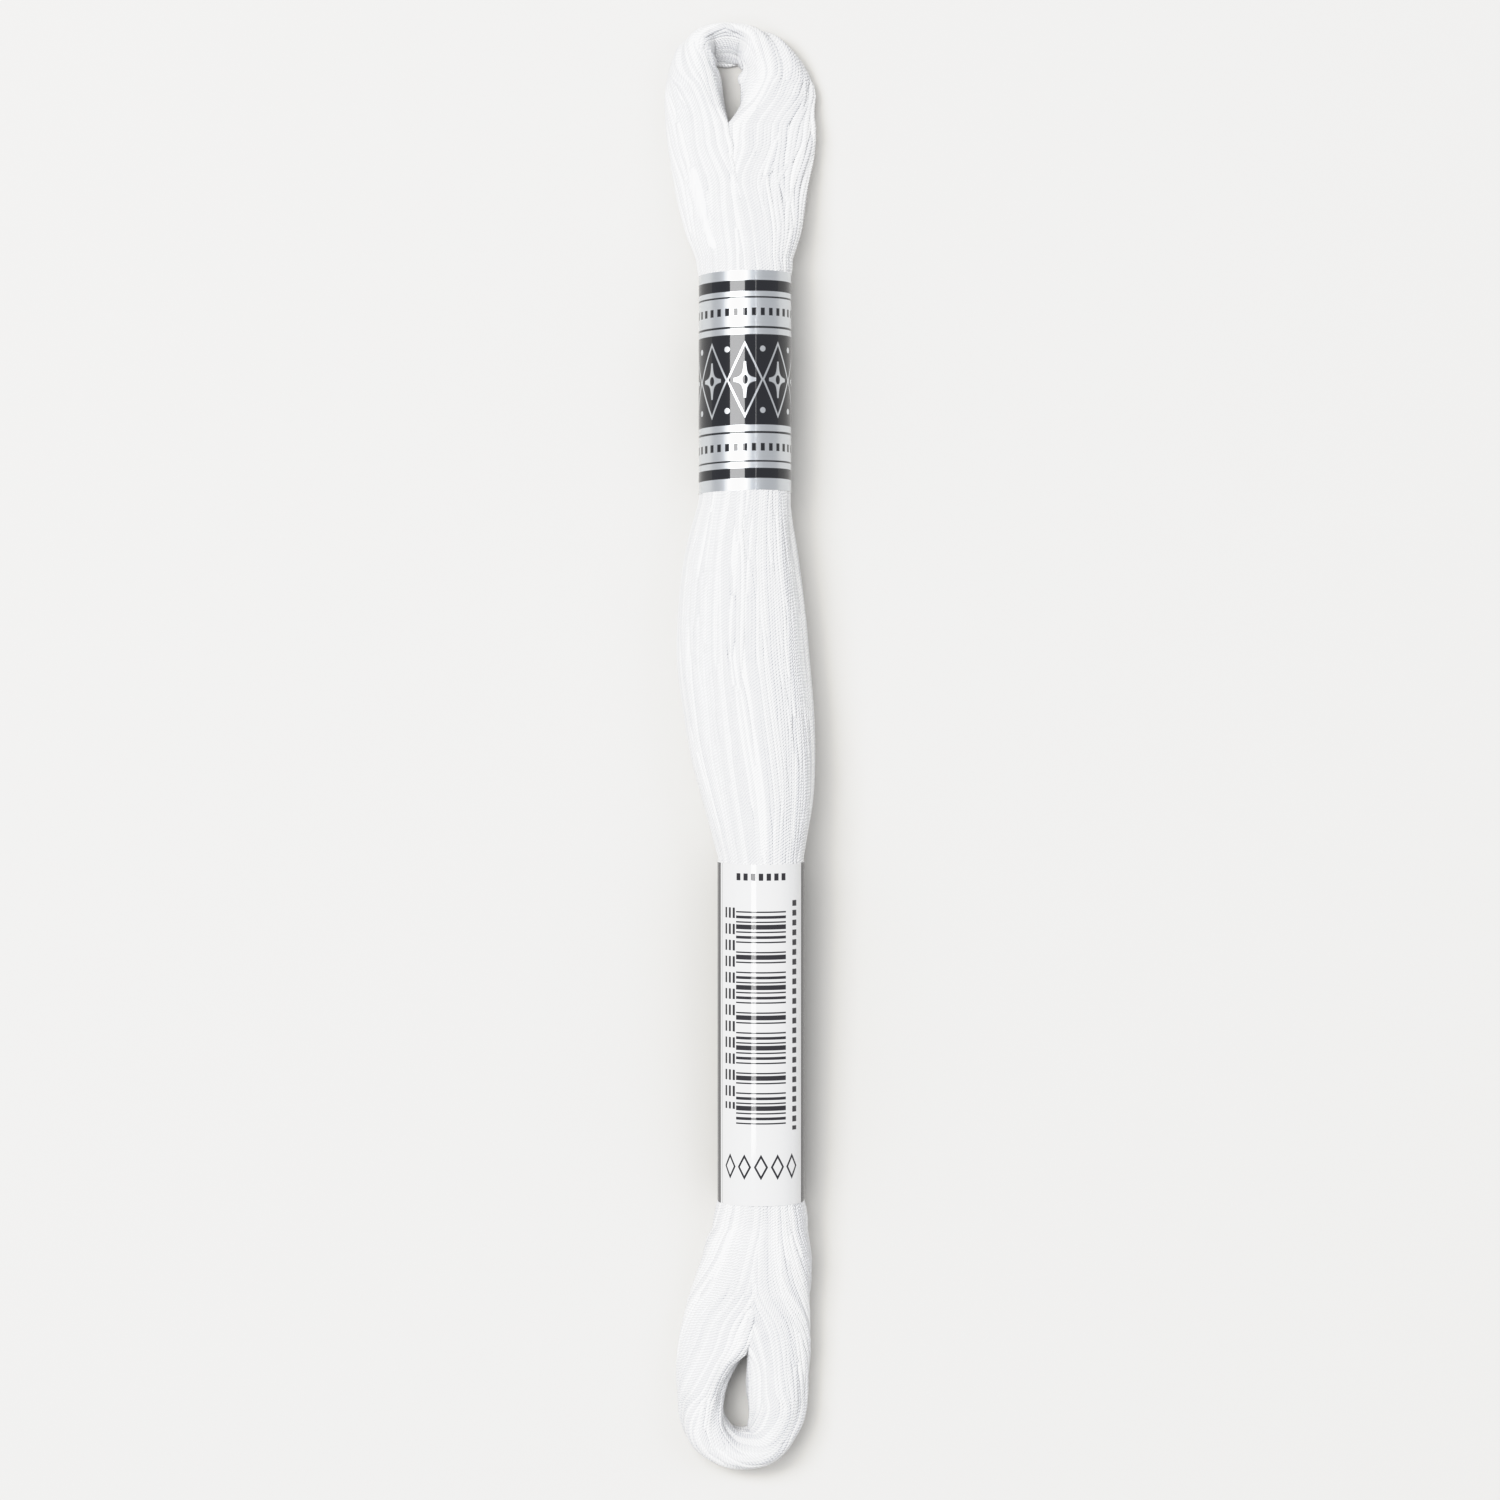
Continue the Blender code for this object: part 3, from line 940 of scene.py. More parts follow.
@dataclass
class RingPath:
    """Sets out the ring's stations on the hank's form.

    It starts at a seam under the long band: down the right leg, round the lower eye, up the left leg,
    round the upper eye and down again. Along the trunk both legs share their planes, square to Y.
    """

    form: HankForm
    trunk_ends: tuple[float, float] = (-76.0, 78.0)
    trunk_step: float = 1.2
    arch_stations: int = 40
    seam: float = -33.4
    tips: tuple[float, float] = (73.2, 70.6)  # how far along the legs part, at the upper and the lower eye
    parting: tuple[float, float] = (-0.5, 2.5)  # from a tip, where the legs' flat sides part
    lone: tuple[float, float] = (-7.5, -2.0)  # from a tip, where each leg comes to keep its own turns
    looping: tuple[float, float] = (-0.5, 5.5)  # from a tip, where the loop's sections take over
    fence_start: float = -1.5  # from a tip, where a leg's turns stay on their own side
    fence_gap: float = 0.2
    fans: tuple[tuple[float, float], ...] = ((55.6, 58.5), (53.6, 56.5))  # where legs widen past a band
    joins: tuple[float, float] = (42.0, -33.0)  # under the bands, where one of the form's tables ends
    overhang: float = 0.012  # how far the trunk stays round past a band, as a share of the band
    loop_rows: int = 900  # read along each loop
    turn_in: float = 0.3  # share of an arch in which its stations turn away from the trunk's planes
    groove: float = 0.24  # depth of the grooves between the belly's bunches
    groove_ends: tuple[float, float] = (29.0, -12.0)
    groove_fade: float = 5.0
    turn_back: tuple[float, float] = (34.0, 52.0)  # inside the long band, where the bunches turn back

    def read_trunk(self, y: np.ndarray) -> np.ndarray:
        """The trunk's rows at given places: x, half width, half height and height of its middle."""
        table = []
        for rows in (self.form.upper_web, self.form.belly, self.form.lower_web):
            values = np.array(rows, float)[::-1]
            at = values[:, 0]
            held = np.clip(y, at[0], at[-1])
            read = read_curve(at, values[:, 1:], held)
            table.append(np.column_stack([read[:, 0], read[:, 1], read[:, 2], read[:, 3] + read[:, 2]]))
        upper, belly, lower = table
        first, second = self.joins
        result = np.where((y > first)[:, None], upper, np.where((y > second)[:, None], belly, lower))
        for fit in (FOIL_FIT, LABEL_FIT):
            share = (y - fit.outer_end) / (fit.inner_end - fit.outer_end)
            inside = (share >= -self.overhang) & (share <= 1 + self.overhang)
            height = fit.axis_height(0.0) + share * (fit.axis_height(1.0) - fit.axis_height(0.0))
            x, size = np.full_like(y, fit.x), np.full_like(y, fit.trunk_radius)
            result = np.where(inside[:, None], np.column_stack([x, size, size, height]), result)
        return result

    def read_loop(self, rows: tuple[tuple[float, ...], ...]) -> np.ndarray:
        """A loop's rows, read densely along its path.

        Args:
            rows: the loop's table.

        Returns:
            Rows of x, y, half across, half height, height of the middle, and lean and roll in radians.
        """
        values = np.array(rows, float)
        at = running_length(values[:, :2])
        read = read_curve(at, values, np.linspace(0, at[-1], self.loop_rows))
        lean, roll = np.radians(read[:, 5]), np.radians(read[:, 6])
        middle = read[:, 4] + np.hypot(read[:, 3] * np.cos(lean), read[:, 2] * np.sin(lean))
        return np.column_stack([read[:, :4], middle, lean, roll])

    def split_loop(self, rows: tuple[tuple[float, ...], ...], end: float) -> tuple[np.ndarray, ...]:
        """Cuts a loop into its left leg, its arch and its right leg.

        Args:
            rows: the loop's table.
            end: where the trunk's stations stop.

        Returns:
            The three runs of dense rows, in the table's order.
        """
        dense = self.read_loop(rows)
        past = np.where(np.abs(dense[:, 1]) > abs(end))[0]
        first, last = past[0], past[-1] + 1
        return dense[:first], dense[first:last], dense[last:]

    def arch(self, dense: np.ndarray, clockwise: bool) -> Ring:
        """The stations round an eye's far end.

        Args:
            dense: the arch's rows, in the table's order.
            clockwise: whether the table already follows the ring.

        Returns:
            That stretch of the ring.
        """
        dense = dense if clockwise else dense[::-1]
        at = running_length(dense[:, :2])
        places = np.linspace(0, at[-1], self.arch_stations + 2)[1:-1]
        rows = read_rows(places, at, dense)
        tangent = np.gradient(rows[:, :2], axis=0)
        angle = np.unwrap(np.arctan2(tangent[:, 0], -tangent[:, 1]))
        start, stop = (math.pi, 0.0) if clockwise else (0.0, -math.pi)
        angle += round((start - angle[0]) / (2 * math.pi)) * 2 * math.pi
        share = np.linspace(0, 1, len(places))
        angle += (start - angle[0]) * (1 - eased(share, 0.0, self.turn_in))
        angle += (stop - angle[-1]) * eased(share, 1 - self.turn_in, 1.0)
        outwards = np.stack([np.cos(angle), np.sin(angle)], axis=-1)
        none = np.zeros(len(rows))
        own = Section.of_loop(rows, none)
        return Ring(none, rows[:, :2], outwards, none - 1, own, own, none + 1, rows[:, 6])

    @staticmethod
    def read_leg(y: np.ndarray, upper: np.ndarray, lower: np.ndarray) -> np.ndarray:
        """A leg's rows at given places along the hank.

        Args:
            y: the places.
            upper: the leg's rows at the upper loop.
            lower: its rows at the lower loop.

        Returns:
            The rows, and in three more columns how far out the leg reaches from its middle, and the
            heights of its top and its foot.
        """
        reads = []
        for dense in (upper, lower):
            dense = dense[np.argsort(dense[:, 1])]
            reads.append(read_rows(y, dense[:, 1], dense))
        row = np.where((y > 0)[:, None], reads[0], reads[1])
        cos, sin = np.cos(row[:, 5]), np.sin(row[:, 5])
        reach_out = np.hypot(row[:, 2] * cos, row[:, 3] * sin)
        reach_up = np.hypot(row[:, 3] * cos, row[:, 2] * sin)
        return np.column_stack([row, reach_out, row[:, 4] + reach_up, row[:, 4] - reach_up])

    def leg(
        self, planes: np.ndarray, picked: np.ndarray, sign: float, upper: list[Any], lower: list[Any]
    ) -> Ring:
        """The stations of a stretch of one leg.

        Args:
            planes: where the planes across the trunk lie.
            picked: which of them, in the ring's order.
            sign: -1 for the left leg and 1 for the right one.
            upper: the rows at the upper loop of the left leg, the arch and the right leg.
            lower: the same at the lower loop.

        Returns:
            That stretch of the ring.
        """
        y = planes[picked]
        this, mate = (2, 0) if sign > 0 else (0, 2)
        row = self.read_leg(y, upper[this], lower[this])
        other = self.read_leg(y, upper[mate], lower[mate])
        trunk = self.read_trunk(y)
        none = np.zeros(len(y))
        reach_out = row[:, 7]
        reach_y = np.abs(y)
        bulge = eased(reach_y, *self.fans[0]) * (y > 0) + eased(reach_y, *self.fans[1]) * (y < 0)
        rim = sign * trunk[:, 0] + trunk[:, 1]
        rim = rim + bulge * np.maximum(sign * row[:, 0] + reach_out - rim, 0)
        tip = np.where(y > 0, *self.tips)
        apart, alone, looped = [
            eased(reach_y, tip + start, tip + stop) for start, stop in (self.parting, self.lone, self.looping)
        ]
        flat = sign * trunk[:, 0]
        flat = flat + apart * np.maximum(sign * row[:, 0] - reach_out - flat, 0)
        heights = row[:, 8:] * (1 + alone[:, None]) / 2 + other[:, 8:] * (1 - alone[:, None]) / 2
        top = trunk[:, 3] + trunk[:, 2] + bulge * (heights[:, 0] - trunk[:, 3] - trunk[:, 2])
        foot = trunk[:, 3] - trunk[:, 2] + bulge * (heights[:, 1] - trunk[:, 3] + trunk[:, 2])
        high, low = self.groove_ends
        groove = self.groove * eased(high - y, 0, self.groove_fade) * eased(y - low, 0, self.groove_fade)
        halves = Section(
            out=flat,
            up=(top + foot) / 2,
            half_out=rim - flat,
            half_up=(top - foot) / 2,
            lean=none,
            swell=groove,
            phase=none if sign > 0 else none + math.pi,
            drift=y,
            own=alone,
            fence=np.where(reach_y > tip + self.fence_start, flat + self.fence_gap, NO_FENCE),
        )
        loop = Section.of_loop(row, sign * row[:, 0])
        # Inside the long band the bunches turn back, out of sight, to where they are at the other end.
        rest = np.where(y < self.seam, math.pi, 0.0) if sign > 0 else none
        roll = rest + (row[:, 6] - rest) * np.where(y > 0, 1.0, eased(-y, *self.turn_back))
        outwards = np.column_stack([none + sign, none])
        return Ring(none + sign, np.column_stack([none, y]), outwards, picked, halves, loop, looped, roll)

    def ring(self) -> Ring:
        """Returns the whole ring."""
        low, high = self.trunk_ends
        count = round((high - low) / self.trunk_step)
        planes = np.linspace(low, high, count)
        upper = self.split_loop(self.form.upper_loop, high)
        lower = self.split_loop(self.form.lower_loop, low)
        seam = int(np.searchsorted(planes, self.seam))
        down = np.arange(count)[::-1]
        stretches = [
            self.leg(planes, down[down < seam], 1.0, upper, lower),
            self.arch(lower[1], False),
            self.leg(planes, np.arange(count), -1.0, upper, lower),
            self.arch(upper[1], True),
            self.leg(planes, down[down >= seam], 1.0, upper, lower),
        ]
        parts: dict[str, Any] = {}
        for name in ("side", "middle", "outwards", "plane", "looped", "roll"):
            parts[name] = np.concatenate([getattr(stretch, name) for stretch in stretches])
        for name in ("trunk", "loop"):
            columns = {}
            for column in vars(stretches[0].trunk):
                columns[column] = np.concatenate([getattr(getattr(part, name), column) for part in stretches])
            parts[name] = Section(**columns)
        return Ring(**parts)


# ---------------------------------------------------------------------------------------------------------
# The turns of thread
# ---------------------------------------------------------------------------------------------------------


@dataclass
class Winding:
    """Lays the turns of the ring side by side, as thread that can't lie in the same place twice.

    The turns roll half a turn at the lower eye, so the ring closes on the opposite places, which the seam
    joins: every closed thread but the middle one goes round twice.
    """

    ring: Ring
    turns: int = 97
    thread: float = 0.52
    rounds: int = 150
    seed: int = 1746
    bunches: int = 15
    packing: float = 0.88  # share of the room that close-lying strands fill
    upward: float = 0.42  # how much closer they lie on top than underneath
    shoulder: float = 52.0  # where they lie closest on a leg of its own, in degrees up from its outer side
    outward_step: float = 0.03
    wide_legs: tuple[float, float] = (53.0, 61.0)  # how far along the legs come to be wide
    wide_room: float = 0.18  # how much further apart the strands then lie
    gathered: float = 0.12  # how far a bunch is drawn together
    spared: tuple[float, float] = (0.6, 0.9)  # how much less so round the eyes, and in the wide legs
    neighbours: int = 10
    look_again: int = 8  # rounds after which the neighbours are found afresh
    arch_room: float = 0.82  # how far apart strands lie round an eye's far end, in threads
    give: float = 0.34  # how much of an overlap a strand undoes in one round
    pull: tuple[float, float] = (0.025, 0.004)  # back to its aim, at first and at last
    pulled: float = 0.7  # the share of the rounds with the first pull
    swings: tuple[tuple[float, float], ...] = ((0.075, 95.0), (0.04, 52.0), (0.018, 30.0))
    rises: tuple[tuple[float, float], ...] = ((0.05, 80.0), (0.035, 44.0), (0.02, 26.0))
    slant: SlantedFace = SlantedFace()

    def homes(self, rng: np.random.Generator) -> np.ndarray:
        """Places for the turns in a unit disc, evenly spread and the same after half a turn.

        Args:
            rng: the source of chance.

        Returns:
            The places. The first half is opposite the second, and the last one is the middle.
        """
        half = self.turns // 2
        count = np.arange(half) + 0.6  # leaves the middle free
        radius = np.sqrt(count / half) * 0.98
        golden = math.pi * (3 - math.sqrt(5))
        angle = count * golden * 0.5 + rng.uniform(0, 0.5, half)
        points = from_polar(radius, angle)
        spacing = 1.9 / math.sqrt(self.turns)
        for _ in range(200):
            spread = np.concatenate([points, -points, np.zeros((1, 2))])
            gaps = points[:, None, :] - spread[None, :, :]
            apart = np.hypot(gaps[..., 0], gaps[..., 1]) + 1e-9
            apart[np.arange(half), np.arange(half)] = 9.0  # no point pushes itself
            push = gaps / apart[..., None] * np.maximum(spacing - apart, 0)[..., None]
            points = points + push.sum(axis=1) * 0.15
            reach = np.hypot(points[:, 0], points[:, 1])
            points = points / np.maximum(reach / 0.985, 1.0)[:, None]
        return np.concatenate([points, -points, np.zeros((1, 2))])

    @property
    def opposite(self) -> np.ndarray:
        """For each turn, the one that it runs on into past the seam."""
        half = self.turns // 2
        order = np.arange(self.turns)
        return np.concatenate([order[half : 2 * half], order[:half], order[2 * half :]])

    @staticmethod
    def halved(disc: np.ndarray) -> np.ndarray:
        """Takes the unit disc to its outward half, in which every part keeps its share of the room.

        Args:
            disc: places in the unit disc, outwards and up.

        Returns:
            Their places in the half disc.
        """
        middle = np.array([4 / (3 * math.pi), 0.0])
        bow = np.linspace(0, math.pi / 2, 60)
        side = np.linspace(1, 0, 40)[1:]
        rim = np.stack([np.append(np.cos(bow), 0 * side), np.append(np.sin(bow), side)], axis=-1)
        arms = rim - middle
        slices = arms[:-1, 0] * arms[1:, 1] - arms[:-1, 1] * arms[1:, 0]
        turn = np.append(0.0, np.cumsum(slices))
        turn *= math.pi / turn[-1]
        reach, angle = to_polar(disc)
        out = np.interp(np.abs(angle), turn, arms[:, 0])
        up = np.interp(np.abs(angle), turn, arms[:, 1]) * np.sign(angle)
        return middle + reach[..., None] * np.stack([out, up], axis=-1)

    def hollowed(self, disc: np.ndarray, section: Section, strands: int, toward: float) -> np.ndarray:
        """Moves strands out from the middle of a section that they don't fill, and more to one side.

        Args:
            disc: places in the unit disc.
            section: the section.
            strands: how many strands share it.
            toward: the side that gets more of them, as an angle.

        Returns:
            The places, moved outwards.
        """
        area = math.pi * section.half_out * section.half_up
        filled = strands * math.pi / 4 * self.thread**2 / self.packing
        free = np.clip(1 - filled / area, 0.0, 0.92)[:, None]
        reach, angle = to_polar(disc)
        wanted = np.sqrt(free + (1 - free) * reach**2)
        angle = angle + self.upward * np.minimum(free * 3, 1.0) * np.sin(toward - angle)
        return from_polar(wanted, angle)

    def wander(self, rng: np.random.Generator, waves: tuple[tuple[float, float], ...]) -> np.ndarray:
        """A smooth drift for each strand along the ring, nought at the seam.

        Args:
            rng: the source of chance.
            waves: the size and length of each wave.

        Returns:
            The drift by station and strand.
        """
        run = self.ring.run
        drift = np.zeros((len(run), self.turns))
        for amount, length in waves:
            phase = rng.uniform(0, 2 * math.pi, self.turns)
            pace = rng.uniform(0.8, 1.25, self.turns)
            size = rng.normal(0, amount, self.turns)
            drift += size * np.sin(2 * math.pi * run[:, None] * pace / length + phase)
        fade = eased(np.minimum(run, run[-1] - run), 4.0, 30.0)
        return drift * fade[:, None]

    def aim(self, rng: np.random.Generator) -> np.ndarray:
        """Where each strand would lie if it took no notice of its neighbours.

        Args:
            rng: the source of chance.

        Returns:
            Places by station and strand, outwards and up, in millimetres.
        """
        ring, homes = self.ring, self.homes(rng)
        cos, sin = np.cos(ring.roll)[:, None], np.sin(ring.roll)[:, None]
        rolled = np.stack(
            [homes[:, 0] * cos + homes[:, 1] * sin, homes[:, 1] * cos - homes[:, 0] * sin], axis=-1
        )
        swing = self.wander(rng, self.swings)
        rise = self.wander(rng, self.rises)
        own = ring.trunk.own[:, None, None]
        top, shoulder = math.pi / 2, math.radians(self.shoulder)
        shared = self.hollowed(self.halved(rolled), ring.trunk, 2 * self.turns, top) * (1 - own)
        shared += self.halved(self.hollowed(rolled, ring.trunk, 2 * self.turns, shoulder)) * own
        looped = self.hollowed(rolled, ring.loop, self.turns, top)
        placed = []
        for disc, section in ((shared, ring.trunk), (looped, ring.loop)):
            reach, angle = to_polar(disc)
            placed.append(section.place(from_polar(np.clip(reach + rise, 0.0, 1.0), angle + swing)))
        share = ring.looped[:, None, None]
        aims = placed[0] * (1 - share) + placed[1] * share
        return self.bunched(aims, homes, rng)

    def bunched(self, aims: np.ndarray, homes: np.ndarray, rng: np.random.Generator) -> np.ndarray:
        """Draws neighbouring strands together in bunches, with grooves between them.

        Args:
            aims: places by station and strand.
            homes: the strands' places in the unit disc.
            rng: the source of chance.

        Returns:
            The places, drawn together.
        """
        centres = homes[rng.choice(self.turns, self.bunches, replace=False)]
        for _ in range(12):
            gaps = homes[:, None, :] - centres[None, :, :]
            nearest = np.argmin((gaps**2).sum(axis=-1), axis=1)
            for i in range(self.bunches):
                if np.any(nearest == i):
                    centres[i] = homes[nearest == i].mean(axis=0)
        result = aims.copy()
        looped = self.ring.looped
        wide = eased(np.abs(self.ring.middle[:, 1]), *self.wide_legs) * (1 - looped)
        by_eyes, in_legs = self.spared
        fade = (self.gathered * (1 - by_eyes * looped) * (1 - in_legs * wide))[:, None, None]
        for i in range(self.bunches):
            own = nearest == i
            if np.any(own):
                mean = aims[:, own].mean(axis=1, keepdims=True)
                result[:, own] += fade * (mean - aims[:, own])
        return result

    def spread(self, places: np.ndarray, outward: float) -> np.ndarray:
        """Moves the strands a little outwards, but not past the hank's outline or its resting surface.

        Args:
            places: where they are.
            outward: how far they move.

        Returns:
            Where they then are.
        """
        margin = self.thread / 2
        looped = self.ring.looped[:, None, None]
        held = [section.hold(places, margin, outward) for section in (self.ring.trunk, self.ring.loop)]
        places = held[0] * (1 - looped) + held[1] * looped
        places[..., 1] = np.maximum(places[..., 1], margin)
        return places

    def smoothed(self, shift: np.ndarray, amount: float) -> np.ndarray:
        """Evens out a shift along each strand, past the seam too.

        Args:
            shift: values by station and strand.
            amount: how strongly, from 0 to 1.

        Returns:
            The evened shift.
        """
        before = np.concatenate([shift[-1:, self.opposite], shift[:-1]])
        after = np.concatenate([shift[1:], shift[:1, self.opposite]])
        return shift + amount * ((before + after) / 2 - shift)

    @staticmethod
    def nearest(plane: np.ndarray, count: int) -> np.ndarray:
        """The nearest strands of each strand in each plane."""
        gaps = plane[:, :, None, :] - plane[:, None, :, :]
        apart = np.einsum("ijkl,ijkl->ijk", gaps, gaps)
        own = np.arange(plane.shape[1])
        apart[:, own, own] = 1e9
        return np.argpartition(apart, count, axis=2)[:, :, :count]

    def pushed(self, plane: np.ndarray, near: np.ndarray, apart: np.ndarray | float) -> np.ndarray:
        """How far each strand is pushed by those that it overlaps."""
        rows = np.arange(plane.shape[0])[:, None, None]
        gaps = plane[:, :, None, :] - plane[rows, near]
        reach = np.sqrt((gaps**2).sum(axis=-1)) + 1e-6
        push = gaps / reach[..., None] * np.maximum(apart - reach, 0)[..., None]
        return push.sum(axis=2) * self.give

    def settle(self, aims: np.ndarray, rounds: int) -> np.ndarray:
        """Lets the strands find room.

        Args:
            aims: where they would like to lie.
            rounds: how many small moves they make.

        Returns:
            Their places.
        """
        ring = self.ring
        left, right = np.where(ring.side < 0)[0], np.where(ring.side > 0)[0]
        left, right = left[np.argsort(ring.plane[left])], right[np.argsort(ring.plane[right])]
        arch = np.where(ring.side == 0)[0]
        mirror = np.array([-1.0, 1.0], np.float32)
        aims = aims.astype(np.float32)
        places = self.spread(aims, 0.0)
        near_trunk = near_arch = None
        wide = eased(np.abs(ring.middle[right, 1]), *self.wide_legs).astype(np.float32)
        apart = self.thread * (1 + self.wide_room * wide)[:, None, None]
        for step in range(rounds):
            both = np.concatenate([places[left] * mirror, places[right]], axis=1)
            if step % self.look_again == 0:
                near_trunk = self.nearest(both, self.neighbours)
                near_arch = self.nearest(places[arch], self.neighbours)
            push = np.zeros_like(places)
            moved = self.pushed(both, near_trunk, apart)
            push[left] = moved[:, : self.turns] * mirror
            push[right] = moved[:, self.turns :]
            push[arch] = self.pushed(places[arch], near_arch, self.thread * self.arch_room)
            pull = self.pull[0] if step < rounds * self.pulled else self.pull[1]
            places = places + push + pull * (aims - places)
            places = self.spread(aims + self.smoothed(places - aims, 0.5), self.outward_step)
        shift = places - aims
        for _ in range(3):
            shift = self.smoothed(shift, 0.6)
        return self.spread(aims + shift, 0.0)

    def strands(self, quick: bool) -> list[np.ndarray]:
        """Winds the hank.

        Args:
            quick: take fewer small moves, for a first look.

        Returns:
            Each closed thread's centre line in metres: two turns that run into each other, or the one in
            the middle.
        """
        rng = np.random.default_rng(self.seed)
        aims = self.aim(rng)
        places = self.settle(aims, 40 if quick else self.rounds)
        places = self.ring.loop.edged(places, self.ring.looped, self.slant)
        world = self.ring.middle[:, None, :] + self.ring.outwards[:, None, :] * places[..., :1]
        lines = np.concatenate([world, places[..., 1:]], axis=-1) * MM
        half = self.turns // 2
        closed = [np.concatenate([lines[:, i], lines[:, i + half]]) for i in range(half)]
        closed.append(lines[:, 2 * half])
        order = sorted(range(len(closed)), key=lambda i: float(aims[len(aims) // 2, i, 1]))
        return [closed[i] for i in order]


@dataclass
class ThreadTurns:
    """The twisted thread of the hank, as tubes round the winding's lines."""

    winding: Winding
    pieces: int = 4
    sides: int = 8
    twist: float = 1.5
    plump: float = 1.32  # soft thread swells into the gaps beside it
    swell: float = 0.15  # how much more it swells in the wide legs
    wide_from: tuple[float, float] = (54.0, 60.0)
    wide_to: tuple[float, float] = (74.0, 79.0)
    strip: int = 84  # stations in one strip of the bake map
    strip_margin: float = 0.06  # free beside a strip, as a share of its room
    strip_height: float = 0.88
    finish: CottonFinish = CottonFinish()

    def tube(self, line: np.ndarray) -> tuple[np.ndarray, np.ndarray]:
        """The skin of one closed thread.

        Args:
            line: its centre line.

        Returns:
            The points, by station and round the thread, and the running length of each station.
        """
        tangent = np.roll(line, -1, axis=0) - np.roll(line, 1, axis=0)
        tangent /= np.linalg.norm(tangent, axis=1, keepdims=True)
        sideways = np.cross(tangent, np.array([0.0, 0.0, 1.0]))
        sideways /= np.linalg.norm(sideways, axis=1, keepdims=True)
        upwards = np.cross(sideways, tangent)
        angle = 2 * math.pi * np.arange(self.sides) / self.sides
        along = np.abs(line[:, 1]) / MM
        loose = eased(along, *self.wide_from) * (1 - eased(along, *self.wide_to))
        radius = (self.winding.thread / 2 * self.plump * MM) * (1 + self.swell * loose)[:, None, None]
        ring = sideways[:, None, :] * np.cos(angle)[:, None] + upwards[:, None, :] * np.sin(angle)[:, None]
        steps = np.linalg.norm(np.diff(line, axis=0, append=line[:1]), axis=1)
        run = np.concatenate([[0.0], np.cumsum(steps)])
        skin = line[:, None, :] + ring * radius
        skin[..., 2] = np.maximum(skin[..., 2], 0.0)  # pressed flat where it rests
        return skin, run

    def build_piece(self, name: str, lines: list[np.ndarray], rng: np.random.Generator) -> bpy.types.Object:
        """One mesh of several closed threads.

        Args:
            name: the piece's name.
            lines: the threads' centre lines.
            rng: the source of chance for their tones.

        Returns:
            The object.
        """
        points, faces, run_map, bake_map, tones = [], [], [], [], []
        strips = sum(math.ceil(len(line) / self.strip) for line in lines)
        tall = self.strip_height / strips
        first = used = 0
        for line in lines:
            skin, run = self.tube(line)
            stations, sides = skin.shape[:2]
            points.append(skin.reshape(-1, 3))
            tones.append(np.full(stations * sides, rng.uniform(0.0, 1.0)))
            a, c = np.arange(stations)[:, None], np.arange(sides)[None, :]
            b, d = (a + 1) % stations, (c + 1) % sides
            corners = np.stack([a * sides + c, b * sides + c, b * sides + d, a * sides + d], axis=-1)
            faces.append(corners.reshape(-1, 4) + first)
            near, far = c / sides, (c + 1) / sides
            along = run[:, None] / (self.twist * MM) + rng.uniform(0.0, 1.0)
            run_map.append(self.face_map(along[:-1], along[1:], near, far))
            within = a % self.strip / self.strip
            base = (used + a // self.strip + self.strip_margin) / strips
            ends = (within, within + 1 / self.strip)
            bake_map.append(self.face_map(*ends, base + near * tall, base + far * tall))
            used += math.ceil(stations / self.strip)
            first += stations * sides
        return self.mesh_object(
            name,
            np.concatenate(points),
            np.concatenate(faces),
            {"run": np.concatenate(run_map), "OFBake": np.concatenate(bake_map)},
            np.concatenate(tones),
        )

    @staticmethod
    def face_map(start: np.ndarray, stop: np.ndarray, near: np.ndarray, far: np.ndarray) -> np.ndarray:
        """The pairs of a UV map for a grid of four-sided faces.

        Args:
            start: the first coordinate at the start of each face.
            stop: the same at its end.
            near: the second coordinate at its near side.
            far: the same at its far side.

        Returns:
            One pair for each corner of each face.
        """
        start, stop, near, far = np.broadcast_arrays(start, stop, near, far)
        pairs = np.stack([start, near, stop, near, stop, far, start, far], axis=-1)
        return pairs.reshape(-1, 2)

    @staticmethod
    def mesh_object(
        name: str, points: np.ndarray, faces: np.ndarray, maps: dict[str, np.ndarray], tones: np.ndarray
    ) -> bpy.types.Object:
        """Makes an object of four-sided faces.

        Args:
            name: its name.
            points: its corners.
            faces: the corners of each face.
            maps: its UV maps, one pair for each corner of each face.
            tones: one value for each point.

        Returns:
            The object, in the scene.
        """
        mesh = bpy.data.meshes.new(name)
        mesh.vertices.add(len(points))
        mesh.vertices.foreach_set("co", points.astype(np.float32).ravel())
        mesh.loops.add(faces.size)
        mesh.loops.foreach_set("vertex_index", faces.astype(np.int32).ravel())
        mesh.polygons.add(len(faces))
        mesh.polygons.foreach_set("loop_start", np.arange(0, faces.size, 4, dtype=np.int32))
        mesh.update(calc_edges=True)
        for key, values in maps.items():
            layer = mesh.uv_layers.new(name=key)
            layer.data.foreach_set("uv", values.astype(np.float32).ravel())
        tone = mesh.attributes.new("tone", "FLOAT", "POINT")
        tone.data.foreach_set("value", tones.astype(np.float32))
        mesh.shade_smooth()
        obj = bpy.data.objects.new(name, mesh)
        bpy.context.scene.collection.objects.link(obj)
        return obj

